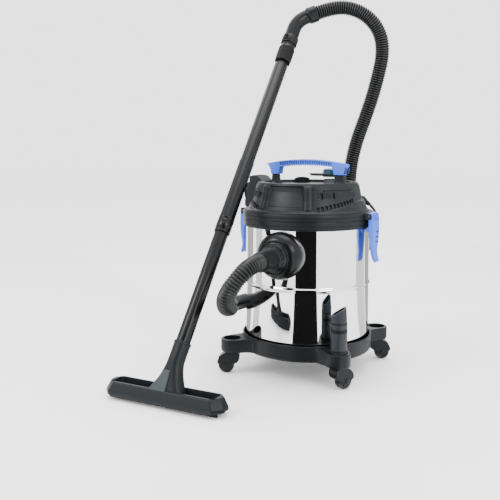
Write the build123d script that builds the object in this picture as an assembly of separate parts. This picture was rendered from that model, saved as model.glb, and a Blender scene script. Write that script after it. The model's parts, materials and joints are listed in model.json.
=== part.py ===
from build123d import *
import math
import os

os.makedirs("parts", exist_ok=True)

# A wet and dry shop vacuum: a steel drum on a castered base, a motor head clipped on top, a
# corrugated hose, a two-piece wand and a floor tool. Sizes are in millimetres. Everything is
# drawn about the drum's axis with the floor at z = 0, the inlet facing -Y and the latches at
# +X and -X. The whole model is moved once, just before it is written, so that the origin is
# the centre of the bottom of the machine's bounding box, its hose and mains lead left out.

# Drum
DRUM_R = 150.0
DRUM_WALL = 1.0
DRUM_BOTTOM = 66.0
DRUM_TOP = 370.0
BEAD_Z = 216.0
BEAD_HALF = 6.0
BEAD_OUT = 3.0
COLLAR_BOTTOM = 352.0
COLLAR_TOP = 372.0
COLLAR_R = 156.0

# Base
RING_R = 158.0
RING_WALL = 3.5
RING_BOTTOM = 52.0
RING_TOP = 89.0
POD_RADIUS = 192.0
POD_R = 27.0
POD_BOTTOM = 53.0
POD_TOP = 84.0
SOCKET_R = 21.0
SOCKET_FLOOR = 65.0
POD_ANGLES = {"front_left": -135.0, "front_right": -45.0, "rear_right": 45.0, "rear_left": 135.0}

# Casters: the trail points from the swivel axis to the wheel's axle
WHEEL_R = 19.0
WHEEL_WIDTH = 18.0
TRAIL = 14.0
FORK_TOP = 50.5
STEM_R = 4.0
STEM_TOP = 61.0
AXLE_R = 3.0
CASTER_YAWS = {"front_left": 205.0, "front_right": 62.0, "rear_right": 25.0, "rear_left": 118.0}
RUNNING = 0.06
REST_GAP = 0.3
SCREW_ANGLES = (20, 110, 200, 290)
RIVET_ANGLES = (50, 140, 230, 320)
RIVET_Z = 97.0

# Inlet
INLET_Z = 295.0
DOME_R = 55.0
DOME_TIP = 205.0
PORT_R = 22.05
CUFF_R = PORT_R - 0.07
CUFF_END = 262.0

# Head
FLANGE_R = 157.0
FLANGE_TOP = 388.0
DECK_TOP = 450.0
RIM_TOP = 457.0
RIM_R = 114.0
BLOWER_Z = 426.0
BLOWER_OUT = 158.0
BLOWER_DEPTH = 32.0
GLAND_AZIMUTH = 38.0
GLAND_Z = 408.0

# Handle, switch and latches
HANDLE_HALF = 85.0
HANDLE_TOP = 511.0
HANDLE_WIDTH = 27.0
SWITCH_X = 36.0
SWITCH_Y = 46.0
SWITCH_TRAVEL = 4.0
PIN_X = 165.0
PIN_Z = 381.0
PIN_R = 2.5
LATCH_WIDTH = 45.0

# Wand: it starts at the floor tool's neck and leans back over the machine
WAND_FOOT = Vector(-148.0, -398.0, 36.0)
WAND_DIRECTION = Vector(56.4, 443.8, 715.0).normalized()
LOWER_R = 16.0
UPPER_R = 16.8
NECK_FOOT = 62.0
NECK_TOP = 103.0
MOUTH = 365.0
SOCKET_END = 554.0
UPPER_END = 885.0
GRIP_R = 18.0
GRIP_BORE = 15.0
GRIP_BEND = 60.0
GRIP_STRAIGHT = 950.0
GRIP_TAIL = 24.0
GRIP_DIRECTION = Vector(0.79, 0.506, 0.342).normalized()
SLIDER_TRAVEL = 14.0

# Floor tool
TOOL_X = (-300.0, -6.0)
TOOL_Y = (-426.0, -370.0)
TOOL_TOP = 38.0
TOOL_BOTTOM = 6.0
STRIP_Y = (-406.0, -377.0)

# Free hose and mains lead
HOSE_R = 19.0
CORD_R = 3.5
COIL_CENTRE = (-18.0, 252.0)
COIL_MID_R = 45.0
COIL_WIDTH = 28.0
COIL_HEIGHT = 28.0

HOSE_ROUTE = [
    (0, -262, 295),
    (0, -303, 295),
    (-18, -334, 266),
    (-43, -334, 228),
    (-61, -300, 199),
    (-84, -238, 183),
    (-128, -160, 165),
    (-170, -74, 149),
    (-190, 28, 136),
    (-171, 126, 138),
    (-110, 204, 150),
    (-42, 240, 198),
    (3, 238, 286),
    (22, 230, 398),
    (32, 224, 520),
    (82, 222, 650),
    (102, 223, 722),
    (114, 224, 779),
    (110, 221, 829),
    (86, 208, 871),
    (46, 190, 897),
    (-0.6, 169.9, 901.8),
    (-40.14, 144.55, 884.7),
]

CORD_ROUTE = [
    (125, 98.8, 398.5),
    (133.6, 106.3, 387.6),
    (138, 110.6, 373.4),
    (137, 112.6, 355),
    (131, 118, 326),
    (115, 132, 284),
    (93, 150, 234),
    (68, 171, 176),
    (47, 190.6, 114),
    (44.5, 199, 65),
    (42.4, 209.9, 31),
    (41, 223.9, 14),
    (39, 243.6, 4.8),
    (34.8, 263.2, 4.4),
]


def turned(points):
    """A solid of revolution about Z from an outline of (radius, height) points."""
    return revolve(Plane.XZ * make_face(Polyline(*points, close=True)), Axis.Z)


def disc(radius, z0, z1, x=0.0, y=0.0):
    return Pos(x, y, z0) * extrude(Circle(radius), z1 - z0)


def ring(outer, inner, z0, z1):
    return Pos(0, 0, z0) * extrude(Circle(outer) - Circle(inner), z1 - z0)


def block(x0, x1, y0, y1, z0, z1):
    centre = Pos((x0 + x1) / 2, (y0 + y1) / 2, (z0 + z1) / 2)
    return centre * Box(x1 - x0, y1 - y0, z1 - z0)


def along(start, direction, length, radius):
    """A round bar from a point along a direction."""
    return extrude(Plane(origin=start, z_dir=direction) * Circle(radius), length)


def forward(radius, y_near, y_far, z=INLET_Z):
    """A round bar on the inlet's axis, between two distances in front of the drum's axis."""
    return along(Vector(0, -y_near, z), Vector(0, -1, 0), y_far - y_near, radius)


def wand_point(distance):
    return WAND_FOOT + WAND_DIRECTION * distance


def wand_bar(start, end, radius):
    return along(wand_point(start), WAND_DIRECTION, end - start, radius)


# ---------------------------------------------------------------- base and casters


def pod_centre(name):
    angle = math.radians(POD_ANGLES[name])
    return Vector(POD_RADIUS * math.cos(angle), POD_RADIUS * math.sin(angle), 0)


def make_base_ring():
    inner = RING_R - RING_WALL
    outline = [
        (40, 62),
        (inner, 62),
        (inner, RING_BOTTOM),
        (RING_R, RING_BOTTOM),
        (RING_R, RING_TOP - 2),
        (RING_R - 1.5, RING_TOP),
        (inner, RING_TOP),
        (inner, DRUM_BOTTOM),
        (40, DRUM_BOTTOM),
    ]
    base = turned(outline)
    for name, angle in POD_ANGLES.items():
        centre = pod_centre(name)
        web = Rot(0, 0, angle) * block(RING_R - 1, POD_RADIUS, -20, 20, POD_BOTTOM + 4, POD_TOP - 5)
        base += web
        base += disc(POD_R, POD_BOTTOM, POD_TOP, centre.X, centre.Y)
    for name in POD_ANGLES:
        centre = pod_centre(name)
        base -= disc(SOCKET_R, SOCKET_FLOOR, POD_TOP + 1, centre.X, centre.Y)
        base -= disc(STEM_R + RUNNING, POD_BOTTOM - 1, STEM_TOP + 1, centre.X, centre.Y)
    for angle in SCREW_ANGLES:
        base -= Rot(0, 0, angle) * disc(2.1, 50, 70, 105)
    return base


def make_base_screws():
    """Pan-head screws up through the base plate and the drum's floor, each with its nut."""
    group = []
    for angle in SCREW_ANGLES:
        screw = disc(4.0, 59.8, 62, 105) + disc(2.0, 62, 72, 105)
        nut = Pos(105, 0, DRUM_BOTTOM + 1.2) * extrude(RegularPolygon(4, 6) - Circle(2.0), 3)
        group.append(Rot(0, 0, angle) * (screw + nut))
    return Compound(children=group)


def make_fork():
    """A caster fork in its own place: swivel axis on Z, trail along +X."""
    outline = [
        (-15, FORK_TOP),
        (11, FORK_TOP),
        (TRAIL + 19, 38),
        (TRAIL + 23, 17),
        (TRAIL + 9, 10),
        (TRAIL - 8, 10),
        (-17, 30),
    ]
    sides = Pos(0, 13.5, 0) * extrude(Plane.XZ * make_face(Polyline(*outline, close=True)), 27)
    sides = fillet(sides.edges().filter_by(Axis.Y), 3)
    sides -= block(-9, TRAIL + 40, -10.5, 10.5, -5, 41)
    fork = sides + disc(13.5, 44, FORK_TOP)
    fork += disc(7, FORK_TOP, 52.4)
    fork += disc(STEM_R, 52, STEM_TOP)
    fork -= Pos(TRAIL, 20, WHEEL_R) * Rot(90, 0, 0) * Cylinder(AXLE_R, 80)
    return fork


def make_axle():
    return Pos(TRAIL, 0, WHEEL_R) * Rot(90, 0, 0) * Cylinder(AXLE_R, 28)


def make_wheel():
    half = WHEEL_WIDTH / 2
    outline = [
        (AXLE_R + RUNNING, -half - 1),
        (6, -half - 1),
        (6, -half + 2),
        (14, -half + 2),
        (15, -half),
        (WHEEL_R - 2, -half),
        (WHEEL_R, -half + 3),
        (WHEEL_R, half - 3),
        (WHEEL_R - 2, half),
        (15, half),
        (14, half - 2),
        (6, half - 2),
        (6, half + 1),
        (AXLE_R + RUNNING, half + 1),
    ]
    return Pos(TRAIL, 0, WHEEL_R) * Rot(90, 0, 0) * turned(outline)


def placed_caster(piece, name):
    centre = pod_centre(name)
    return Pos(centre.X, centre.Y, 0) * Rot(0, 0, CASTER_YAWS[name]) * piece


def make_crevice_tool():
    """A stubby crevice tool with a slanted mouth, standing in the front right socket."""
    centre = pod_centre("front_right")
    foot = SOCKET_FLOOR + REST_GAP
    body = disc(18.5, foot, 150) + disc(17.3, 150, 158)
    nozzle = Pos(0, 0, 174) * Cone(17, 15, 34)
    for side in (1, -1):
        nozzle -= block(-20, 20, min(side * 12.5, side * 20), max(side * 12.5, side * 20), 164, 195)
    tool = body + nozzle - disc(15.5, SOCKET_FLOOR - 1, 154)
    tool -= disc(9, 150, 200)
    tool -= Pos(0, 0, 197) * Rot(0, -32, 0) * Box(90, 60, 32)
    return Pos(centre.X, centre.Y, 0) * Rot(0, 0, 28) * tool


# ---------------------------------------------------------------- drum and inlet


def make_drum_shell():
    r = DRUM_R
    w = DRUM_WALL
    outer = Polyline((0, DRUM_BOTTOM), (r - 4, DRUM_BOTTOM), (r, DRUM_BOTTOM + 4), (r, BEAD_Z - BEAD_HALF))
    bump = ThreePointArc((r, BEAD_Z - BEAD_HALF), (r + BEAD_OUT, BEAD_Z), (r, BEAD_Z + BEAD_HALF))
    lip = Polyline(
        (r, BEAD_Z + BEAD_HALF),
        (r, DRUM_TOP - 4),
        (r + 2.5, DRUM_TOP - 4),
        (r + 2.5, DRUM_TOP),
        (r - w, DRUM_TOP),
        (r - w, BEAD_Z + BEAD_HALF),
    )
    hollow = ThreePointArc(
        (r - w, BEAD_Z + BEAD_HALF), (r + BEAD_OUT - w, BEAD_Z), (r - w, BEAD_Z - BEAD_HALF)
    )
    inner = Polyline(
        (r - w, BEAD_Z - BEAD_HALF),
        (r - w, DRUM_BOTTOM + 4.5),
        (r - 4.5, DRUM_BOTTOM + 1.2),
        (0, DRUM_BOTTOM + 1.2),
        (0, DRUM_BOTTOM),
    )
    face = make_face([*outer.edges(), *bump.edges(), *lip.edges(), *hollow.edges(), *inner.edges()])
    shell = revolve(Plane.XZ * face, Axis.Z)
    shell -= forward(31, 100, 170)
    for angle in SCREW_ANGLES:
        shell -= Rot(0, 0, angle) * disc(2.1, 60, 70, 105)
    for angle in RIVET_ANGLES:
        shell -= Rot(0, 0, angle) * along(Vector(140, 0, RIVET_Z), Vector(1, 0, 0), 20, 2.0)
    return shell


def make_drum_rivets():
    """Domed rivets through the drum wall just above the base."""
    group = []
    for angle in RIVET_ANGLES:
        rivet = along(Vector(DRUM_R - 3, 0, RIVET_Z), Vector(1, 0, 0), 5, 1.9)
        rivet += along(Vector(DRUM_R + 0.1, 0, RIVET_Z), Vector(1, 0, 0), 2.4, 4.0)
        rivet += along(Vector(DRUM_R - 3.5, 0, RIVET_Z), Vector(1, 0, 0), 2.3, 3.2)
        group.append(Rot(0, 0, angle) * rivet)
    return Compound(children=group)


def make_drum_collar():
    outline = [
        (DRUM_R + 0.2, COLLAR_BOTTOM),
        (COLLAR_R - 1.5, COLLAR_BOTTOM),
        (COLLAR_R, COLLAR_BOTTOM + 1.5),
        (COLLAR_R, COLLAR_TOP),
        (144, COLLAR_TOP),
        (144, DRUM_TOP),
        (DRUM_R + 2.5, DRUM_TOP),
        (DRUM_R + 2.5, DRUM_TOP - 4),
        (DRUM_R + 0.2, DRUM_TOP - 4),
    ]
    return turned(outline)


def make_inlet_fitting():
    """The dome in front of the drum, its socket for the hose cuff and its spigot inside."""
    rim = 168.0
    profile = [
        Polyline((PORT_R, 126), (30, 126), (30, 138), (DOME_R, 138), (DOME_R, rim - 8)).edges(),
        ThreePointArc((DOME_R, rim - 8), (47.5, 181), (30, 190)).edges(),
        Polyline((30, 190), (28, 194), (27, DOME_TIP), (PORT_R, DOME_TIP), (PORT_R, 126)).edges(),
    ]
    face = make_face([edge for part in profile for edge in part])
    turned_part = revolve(Plane.XZ * face, Axis.Z)
    fitting = Pos(0, 0, INLET_Z) * Rot(90, 0, 0) * turned_part
    inside = forward(DOME_R + 5, 100, DRUM_R + 30) - forward(30, 90, DRUM_R + 40)
    return fitting - (inside & disc(DRUM_R + 1.2, 200, 380))


def make_inlet_gasket():
    band = ring(DRUM_R + 1.2, DRUM_R, INLET_Z - 60, INLET_Z + 60)
    return band & (forward(52, 120, 170) - forward(33, 110, 180))


def make_inlet_nut():
    nut = forward(41, 130, 141.5) - forward(30.2, 120, 150)
    for angle in range(0, 360, 45):
        notch = Rot(0, angle, 0) * Pos(41, 0, 0) * Box(5, 40, 8)
        nut -= Pos(0, -136, INLET_Z) * notch
    return nut


def make_hose_cuff():
    """The hose's end: a plug that turns in the inlet, a stop flange and a ribbed sleeve."""
    outline = [
        (16, 165),
        (CUFF_R, 165),
        (CUFF_R, DOME_TIP + 0.4),
        (26, DOME_TIP + 0.4),
        (26, DOME_TIP + 6),
        (24, DOME_TIP + 8),
        (22, CUFF_END - 0.4),
        (16, CUFF_END - 0.4),
    ]
    return Pos(0, 0, INLET_Z) * Rot(90, 0, 0) * turned(outline)


# ---------------------------------------------------------------- head


def make_head_base():
    outline = [
        (25, 339),
        (69, 339),
        (69, 381),
        (139, 381),
        (139, 358),
        (142.5, 358),
        (142.5, 374),
        (153, 374),
        (153, COLLAR_TOP + 0.4),
        (FLANGE_R, COLLAR_TOP + 0.4),
        (FLANGE_R, FLANGE_TOP),
        (66, FLANGE_TOP),
        (66, 342),
        (25, 342),
    ]
    base = turned(outline)
    for side in (1, -1):
        for y in (24.2, -28.2):
            low = PIN_X - 10
            ear = block(min(side * low, side * 171), max(side * low, side * 171), y, y + 4, 374, 387)
            base += ear
        pin_hole = Pos(side * PIN_X, 0, PIN_Z) * Rot(90, 0, 0) * Cylinder(PIN_R + 0.02, 70)
        base -= pin_hole
    return base


def make_head_gasket():
    return ring(152.5, 145, COLLAR_TOP, 374)


def make_head_cover():
    outline = [
        (149, FLANGE_TOP),
        (149, 393),
        (140.5, 398.5),
        (123, 442),
        (119.5, 452),
        (RIM_R, RIM_TOP),
        (RIM_R - 6, RIM_TOP),
        (RIM_R - 9, DECK_TOP),
        (0, DECK_TOP),
        (0, DECK_TOP - 3),
        (RIM_R - 6.5, DECK_TOP - 3),
        (RIM_R - 4, 453.5),
        (117, 449),
        (120, 441),
        (137.5, 397),
        (146, 391),
        (146, FLANGE_TOP),
    ]
    shell = turned(outline)
    boss_profile = [
        (-106, 392),
        (-BLOWER_OUT, 392),
        (-BLOWER_OUT, 404),
        (-150, 446),
        (-144, 469),
        (-122, 469),
        (-106, 452),
    ]
    boss = extrude(Plane.XZ * make_face(Polyline(*boss_profile, close=True)), 30, both=True)
    boss = fillet(boss.edges().filter_by(Axis.Z), 2)
    room = turned([(0, 380), (146, 380), (146, 391), (137.5, 397), (120, 441), (117, 449), (0, 449)])
    shell += boss - room
    bore_start = Vector(-112, 0, BLOWER_Z)
    shell -= along(bore_start, Vector(-1, 0, 0), 60, PORT_R + 3)
    for x in (-HANDLE_HALF, HANDLE_HALF):
        shell += block(x - 9, x + 9, -11, 11, DECK_TOP - 1, 474)
        shell -= disc(2.2, DECK_TOP - 5, 480, x)
    cord_hole = along(gland_direction() * 120 + Vector(0, 0, GLAND_Z), gland_direction(), 50, 6)
    cord_boss = along(gland_direction() * 130 + Vector(0, 0, GLAND_Z), gland_direction(), 16, 11)
    shell -= cord_hole
    shell += cord_boss - room - cord_hole
    shell -= cooling_slots()
    return shell


def gland_direction():
    angle = math.radians(GLAND_AZIMUTH)
    return Vector(math.cos(angle), math.sin(angle), 0)


def cooling_slots():
    """Two rows of slots that climb round the head's sides, as one cutting tool."""
    cuts = []
    for side in (1, -1):
        for index in range(11):
            angle = -57 + 4.2 * index
            slot = block(110, 160, -2.6, 2.6, 395 + 1.7 * index, 404 + 1.7 * index)
            if side < 0:
                cuts.append(Rot(0, 0, 180 - angle) * slot)
            else:
                cuts.append(Rot(0, 0, angle) * slot)
    return cuts


def make_blower_port():
    """The sleeve that lines the blower outlet, with its collar on the outside."""
    start = Vector(-BLOWER_OUT + BLOWER_DEPTH, 0, BLOWER_Z)
    out = Vector(-1, 0, 0)
    sleeve = along(start, out, BLOWER_DEPTH, PORT_R + 2.9)
    sleeve += along(Vector(-BLOWER_OUT, 0, BLOWER_Z), out, 3, PORT_R + 4.5)
    return sleeve - along(start - out * 5, out, BLOWER_DEPTH + 20, PORT_R)


def make_carry_handle():
    """An arched grip on two posts, its front end drawn out past the left post."""
    top = ThreePointArc((-104, 501), (0, HANDLE_TOP), (100, 500))
    outline = make_face(
        [
            *top.edges(),
            *Polyline((100, 500), (102, 494), (97, 474.2), (72, 474.2), (69, 492)).edges(),
            *ThreePointArc((69, 492), (0, 496), (-71, 491)).edges(),
            *Polyline((-71, 491), (-75, 474.2), (-95, 474.2), (-96, 488), (-104, 501)).edges(),
        ]
    )
    handle = extrude(Plane.XZ * outline, HANDLE_WIDTH / 2, both=True)
    for x in (-HANDLE_HALF, HANDLE_HALF):
        handle -= disc(1.8, 470, 492, x)
    return handle


def make_handle_screws():
    group = []
    for x in (-HANDLE_HALF, HANDLE_HALF):
        group.append(disc(3.8, 444, DECK_TOP - 3, x) + disc(1.8, DECK_TOP - 3, 490, x))
    return Compound(children=group)


def make_switch_housing():
    """The turret behind the handle: a stem on the deck and a wide flange with a well."""
    stem = Pos(SWITCH_X + 12, SWITCH_Y, DECK_TOP) * extrude(SlotOverall(44, 36), 21)
    flange = Pos(SWITCH_X - 6, SWITCH_Y, 470) * extrude(Ellipse(44, 29), 6)
    flange = chamfer(flange.edges().group_by(Axis.Z)[0], 2.5)
    return stem + flange - disc(21.4, 463, 480, SWITCH_X + 8, SWITCH_Y)


def make_switch_button():
    button = disc(21, 467.2, 488, SWITCH_X + 8, SWITCH_Y)
    return fillet(button.edges().group_by(Axis.Z)[-1], 6)


def make_cord_gland():
    azimuth = gland_direction()
    start = azimuth * 136 + Vector(0, 0, GLAND_Z)
    shank = along(start, azimuth, 13, 5.8)
    collar = along(azimuth * 146.2 + Vector(0, 0, GLAND_Z), azimuth, 3.4, 8.5)
    exit_point = Vector(*CORD_ROUTE[0])
    cone_start = azimuth * 147 + Vector(0, 0, GLAND_Z)
    lead = exit_point - cone_start
    wide = Plane(origin=cone_start, z_dir=lead.normalized()) * Circle(6.4)
    narrow = Plane(origin=exit_point, z_dir=lead.normalized()) * Circle(4.6)
    return shank + collar + loft([wide, narrow])


def latch_outline():
    """The right latch from the side: barrel on its pin, hook under the collar, long pull tab."""
    points = [
        (161.2, 378),
        (161.2, 352.2),
        (161.2, 350.6),
        (152.8, 350.6),
        (153.4, 346.5),
        (160, 342),
        (163.5, 336),
        (165.5, 300),
        (173, 272.5),
        (178.5, 274.5),
        (172.5, 300),
        (175.5, 334),
        (175.2, 370),
        (172.8, 381),
    ]
    return Polyline(*points, close=True)


def make_latch(side):
    half = LATCH_WIDTH / 2
    plate = extrude(Plane.XZ * make_face(latch_outline()), half, both=True)
    barrel = Pos(PIN_X, 0, PIN_Z) * Rot(90, 0, 0) * Cylinder(7, LATCH_WIDTH)
    latch = plate + barrel
    for y0, y1 in ((-40, -17), (17, 40)):
        latch -= block(150, 190, y0, y1, 260, 298)
    for z in (343, 329, 317):
        latch -= Pos(176.5, 0, z) * Rot(90, 0, 0) * Cylinder(3.2, 34)
    latch -= Pos(PIN_X, 0, PIN_Z) * Rot(90, 0, 0) * Cylinder(PIN_R + RUNNING, 80)
    return latch if side > 0 else Rot(0, 0, 180) * latch


def make_latch_pins():
    pins = []
    for side in (1, -1):
        pins.append(Pos(side * PIN_X, 0, PIN_Z) * Rot(90, 0, 0) * Cylinder(PIN_R, 57))
    return Compound(children=pins)


# ---------------------------------------------------------------- motor and filter


def make_motor_housing():
    outline = [
        (22, 344),
        (64, 344),
        (64, 374),
        (47, 374),
        (47, 438),
        (9.2, 438),
        (9.2, 443.5),
        (6, 443.5),
        (6, 436),
        (45, 436),
        (45, 374),
        (9.2, 374),
        (9.2, 366),
        (14, 366),
        (14, 372),
        (62.5, 372),
        (62.5, 345.5),
        (22, 345.5),
    ]
    housing = turned(outline)
    for angle in range(0, 360, 60):
        housing -= Rot(0, 0, angle) * block(30, 60, -12, 12, 384, 412)
    return housing


def make_motor_stator():
    stator = ring(44.7, 29, 384, 416)
    for angle in (0, 180):
        stator += Rot(0, 0, angle) * (ring(40, 30, 416, 421) & block(0, 60, -24, 24, 410, 430))
    return stator


def make_motor_rotor():
    rotor = disc(4, 347, 441.5) + disc(27.5, 385, 415)
    rotor += disc(20, 379, 385) + disc(20, 415, 420) + disc(12, 421, 432)
    for angle in range(0, 360, 30):
        rotor -= Rot(0, 0, angle) * block(25, 30, -1.2, 1.2, 384, 416)
    return rotor


def make_impeller():
    fan = ring(57, 4, 361.5, 363) + ring(57, 24, 351, 352.5) + ring(11, 4, 350, 362)
    for angle in range(0, 360, 45):
        blade = Pos(20, 0, 352) * extrude(Rot(0, 0, 28) * Pos(17, 0) * Rectangle(34, 1.5), 10)
        fan += Rot(0, 0, angle) * blade
    return fan


def make_motor_bearings():
    lower = ring(9.1, 4 + RUNNING, 366.5, 373.5)
    upper = ring(5.9, 4 + RUNNING, 438.2, 443.2)
    return Compound(children=[lower, upper])


def make_carbon_brushes():
    block_x = block(12.5, 44, -3, 3, 423.5, 430)
    return Compound(children=[block_x, Rot(0, 0, 180) * block_x])


def make_motor_seal():
    return ring(61, 34, 342, 344)


def make_filter_cage():
    cage = ring(66, 45, 336, 339) + ring(54, 47, 322, 336) + disc(50, 237, 240)
    for angle in range(0, 360, 30):
        cage += Rot(0, 0, angle) * block(45.5, 50, -2.5, 2.5, 238, 324)
    cage += ring(50, 45.5, 280, 284)
    return cage


def make_float():
    """An upturned cup that water lifts against the motor's intake."""
    outline = [(0, 0), (34, 0), (34, 48), (31, 52), (0, 52), (0, 49), (31, 49), (31, 3), (0, 3)]
    return Pos(0, 0, 240 + REST_GAP) * turned(outline)


def make_filter_sleeve():
    return turned([(0, 231), (65, 231), (65, 334), (54.4, 334), (54.4, 236.6), (0, 236.6)])


def make_filter_clamp():
    return ring(67, 65, 322, 330) + block(65.5, 72, -4, 4, 323, 329)


# ---------------------------------------------------------------- wand and floor tool


def make_lower_tube():
    return wand_bar(NECK_FOOT, 475, LOWER_R) - wand_bar(60, 480, LOWER_R - 1.6)


def make_upper_tube():
    tube = wand_bar(MOUTH + 39, SOCKET_END, 17.8) + wand_bar(SOCKET_END - 1, UPPER_END, UPPER_R)
    tube += wand_bar(MOUTH, MOUTH + 39, 18.6)
    tube -= wand_bar(MOUTH - 1, 478, LOWER_R + 0.05)
    return tube - wand_bar(470, UPPER_END + 1, UPPER_R - 1.8)


def grip_path():
    corner_angle = WAND_DIRECTION.get_angle(GRIP_DIRECTION)
    tangent = GRIP_BEND * math.tan(math.radians(corner_angle / 2))
    start = wand_point(UPPER_END - 40)
    corner = wand_point(GRIP_STRAIGHT + tangent)
    end = corner + GRIP_DIRECTION * (tangent + GRIP_TAIL)
    return start, corner, end


def swept(points, radii, radius):
    """A round bar along straight runs joined by tangent arcs."""
    path = FilletPolyline(*points, radius=radii)
    section = Plane(origin=path @ 0, z_dir=path % 0) * Circle(radius)
    return sweep(section, path=path)


def make_grip_handle():
    """The bent handle: a socket over the upper tube, a curve and a socket for the hose."""
    start, corner, end = grip_path()
    grip = swept([start, corner, end], GRIP_BEND, GRIP_R)
    grip += wand_bar(UPPER_END - 40, UPPER_END + 6, 20)
    tail = end - GRIP_DIRECTION * 24
    grip += along(tail, GRIP_DIRECTION, 24, 21.5)
    grip -= swept([start - WAND_DIRECTION * 5, corner, end - GRIP_DIRECTION * 1], GRIP_BEND, GRIP_BORE)
    grip -= wand_bar(UPPER_END - 50, UPPER_END, UPPER_R + 0.05)
    slot = slider_frame(GRIP_STRAIGHT - 18) * Pos(0, GRIP_R, 0) * Box(8, 12, 16)
    return grip - slot


def slider_frame(distance):
    """A frame on the wand's axis with its Z along the wand and its Y to the top of the grip."""
    side = WAND_DIRECTION.cross(Vector(0, 0, 1)).normalized()
    return Location(Plane(origin=wand_point(distance), x_dir=side, z_dir=WAND_DIRECTION))


def make_suction_slider():
    low = GRIP_STRAIGHT - 50
    band = wand_bar(low, low + 22, GRIP_R + 2.4)
    thumb = slider_frame(low + 11) * Pos(0, GRIP_R + 3, 0) * Box(10, 5, 4)
    return band + thumb - wand_bar(low - 1, low + 30, GRIP_R + 0.3)


def make_floor_tool():
    x0, x1 = TOOL_X
    y0, y1 = TOOL_Y
    middle_x = (x0 + x1) / 2
    middle_y = (y0 + y1) / 2
    footprint = RectangleRounded(x1 - x0, y1 - y0, 12)
    body = Pos(middle_x, middle_y, TOOL_BOTTOM) * extrude(footprint, TOOL_TOP - TOOL_BOTTOM)
    body = chamfer(body.edges().group_by(Axis.Z)[0], 5)
    neck_half = 34
    for low, high in ((x0 + 12, WAND_FOOT.X - neck_half), (WAND_FOOT.X + neck_half, x1 - 12)):
        body -= block(low, high, y0 + 11, y1 - 9, 22, TOOL_TOP + 1)
    body -= block(x0 + 8, x1 - 8, STRIP_Y[0] + 5, STRIP_Y[1] - 5, 0, 17)
    across = Vector(0, 1, 0).cross(WAND_DIRECTION)
    throat = Plane(origin=wand_point(NECK_FOOT), x_dir=across, z_dir=WAND_DIRECTION)
    foot = Pos(WAND_FOOT.X, middle_y, TOOL_TOP - 14) * RectangleRounded(62, 46, 12)
    body += loft([foot, throat * RectangleRounded(38, 38, 18.5)])
    body += wand_bar(NECK_FOOT - 1, NECK_TOP, 18.2)
    body -= wand_bar(NECK_FOOT, NECK_TOP + 1, LOWER_R + 0.05)
    bore_foot = Pos(WAND_FOOT.X, middle_y, 14) * RectangleRounded(40, 20, 8)
    body -= loft([bore_foot, (throat * Pos(0, 0, 0.5)) * RectangleRounded(26, 26, 12.5)])
    for y in STRIP_Y:
        body -= block(x0 + 10, x1 - 14, y - 2, y + 2, 0, 13)
    return body


def make_floor_strips():
    """The front and rear strips under the floor tool, with a notched working edge."""
    x0, x1 = TOOL_X
    strips = []
    for y in STRIP_Y:
        strip = block(x0 + 10, x1 - 14, y - 2, y + 2, 0, 13)
        for index in range(17):
            x = x0 + 20 + 15.5 * index
            strip -= block(x, x + 5, y - 3, y + 3, -1, 3)
        strips.append(strip)
    return Compound(children=strips)


# ---------------------------------------------------------------- free hose and mains lead


def route_radii(route):
    """One radius for each corner: 0.45 of its shorter run over the tangent of half the turn."""
    points = [Vector(*point) for point in route]
    radii = []
    for before, corner, after in zip(points, points[1:], points[2:]):
        run_in = corner - before
        run_out = after - corner
        turn = math.radians(run_in.get_angle(run_out))
        radii.append(0.45 * min(run_in.length, run_out.length) / math.tan(turn / 2))
    return radii


def make_cord(name, route, radius):
    radii = route_radii(route)
    path = FilletPolyline(*[Vector(*point) for point in route], radius=radii)
    section = Plane(origin=path @ 0, z_dir=path % 0) * Circle(radius)
    solid = sweep(section, path=path)
    expected = math.pi * radius**2 * path.length
    print(name, "radii", [round(value) for value in radii], "length", round(path.length))
    print(name, "volume over section times length", round(solid.volume / expected, 4))
    return solid


def make_cord_coil():
    x, y = COIL_CENTRE
    outer = COIL_MID_R + COIL_WIDTH / 2
    inner = COIL_MID_R - COIL_WIDTH / 2
    coil = Pos(x, y, 0) * ring(outer, inner, 0, COIL_HEIGHT)
    return fillet(coil.edges().filter_by(GeomType.CIRCLE), 7)


def make_cord_tie():
    """A band round the coil's turns."""
    x, y = COIL_CENTRE
    half = COIL_WIDTH / 2
    outer = block(-half - 2.2, half + 2.2, -5, 5, 0, COIL_HEIGHT + 1.8)
    return Pos(x - COIL_MID_R, y, 0) * (outer - block(-half - 0.7, half + 0.7, -6, 6, -1, COIL_HEIGHT + 0.3))


def make_plug():
    x, y = COIL_CENTRE
    top = COIL_HEIGHT + 0.3
    body = Pos(x + 4, y, top + 11) * Rot(0, 90, 0) * extrude(RectangleRounded(22, 34, 7), 40)
    tail = Pos(x - 22, y, top + 11) * Rot(0, 90, 0) * Cone(4, 7, 52)
    pins = []
    for offset in (-9.5, 9.5):
        pins.append(Pos(x + 44, y + offset, top + 11) * Rot(0, 90, 0) * extrude(Circle(2.4), 19))
    return body + tail + pins[0] + pins[1]


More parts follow.
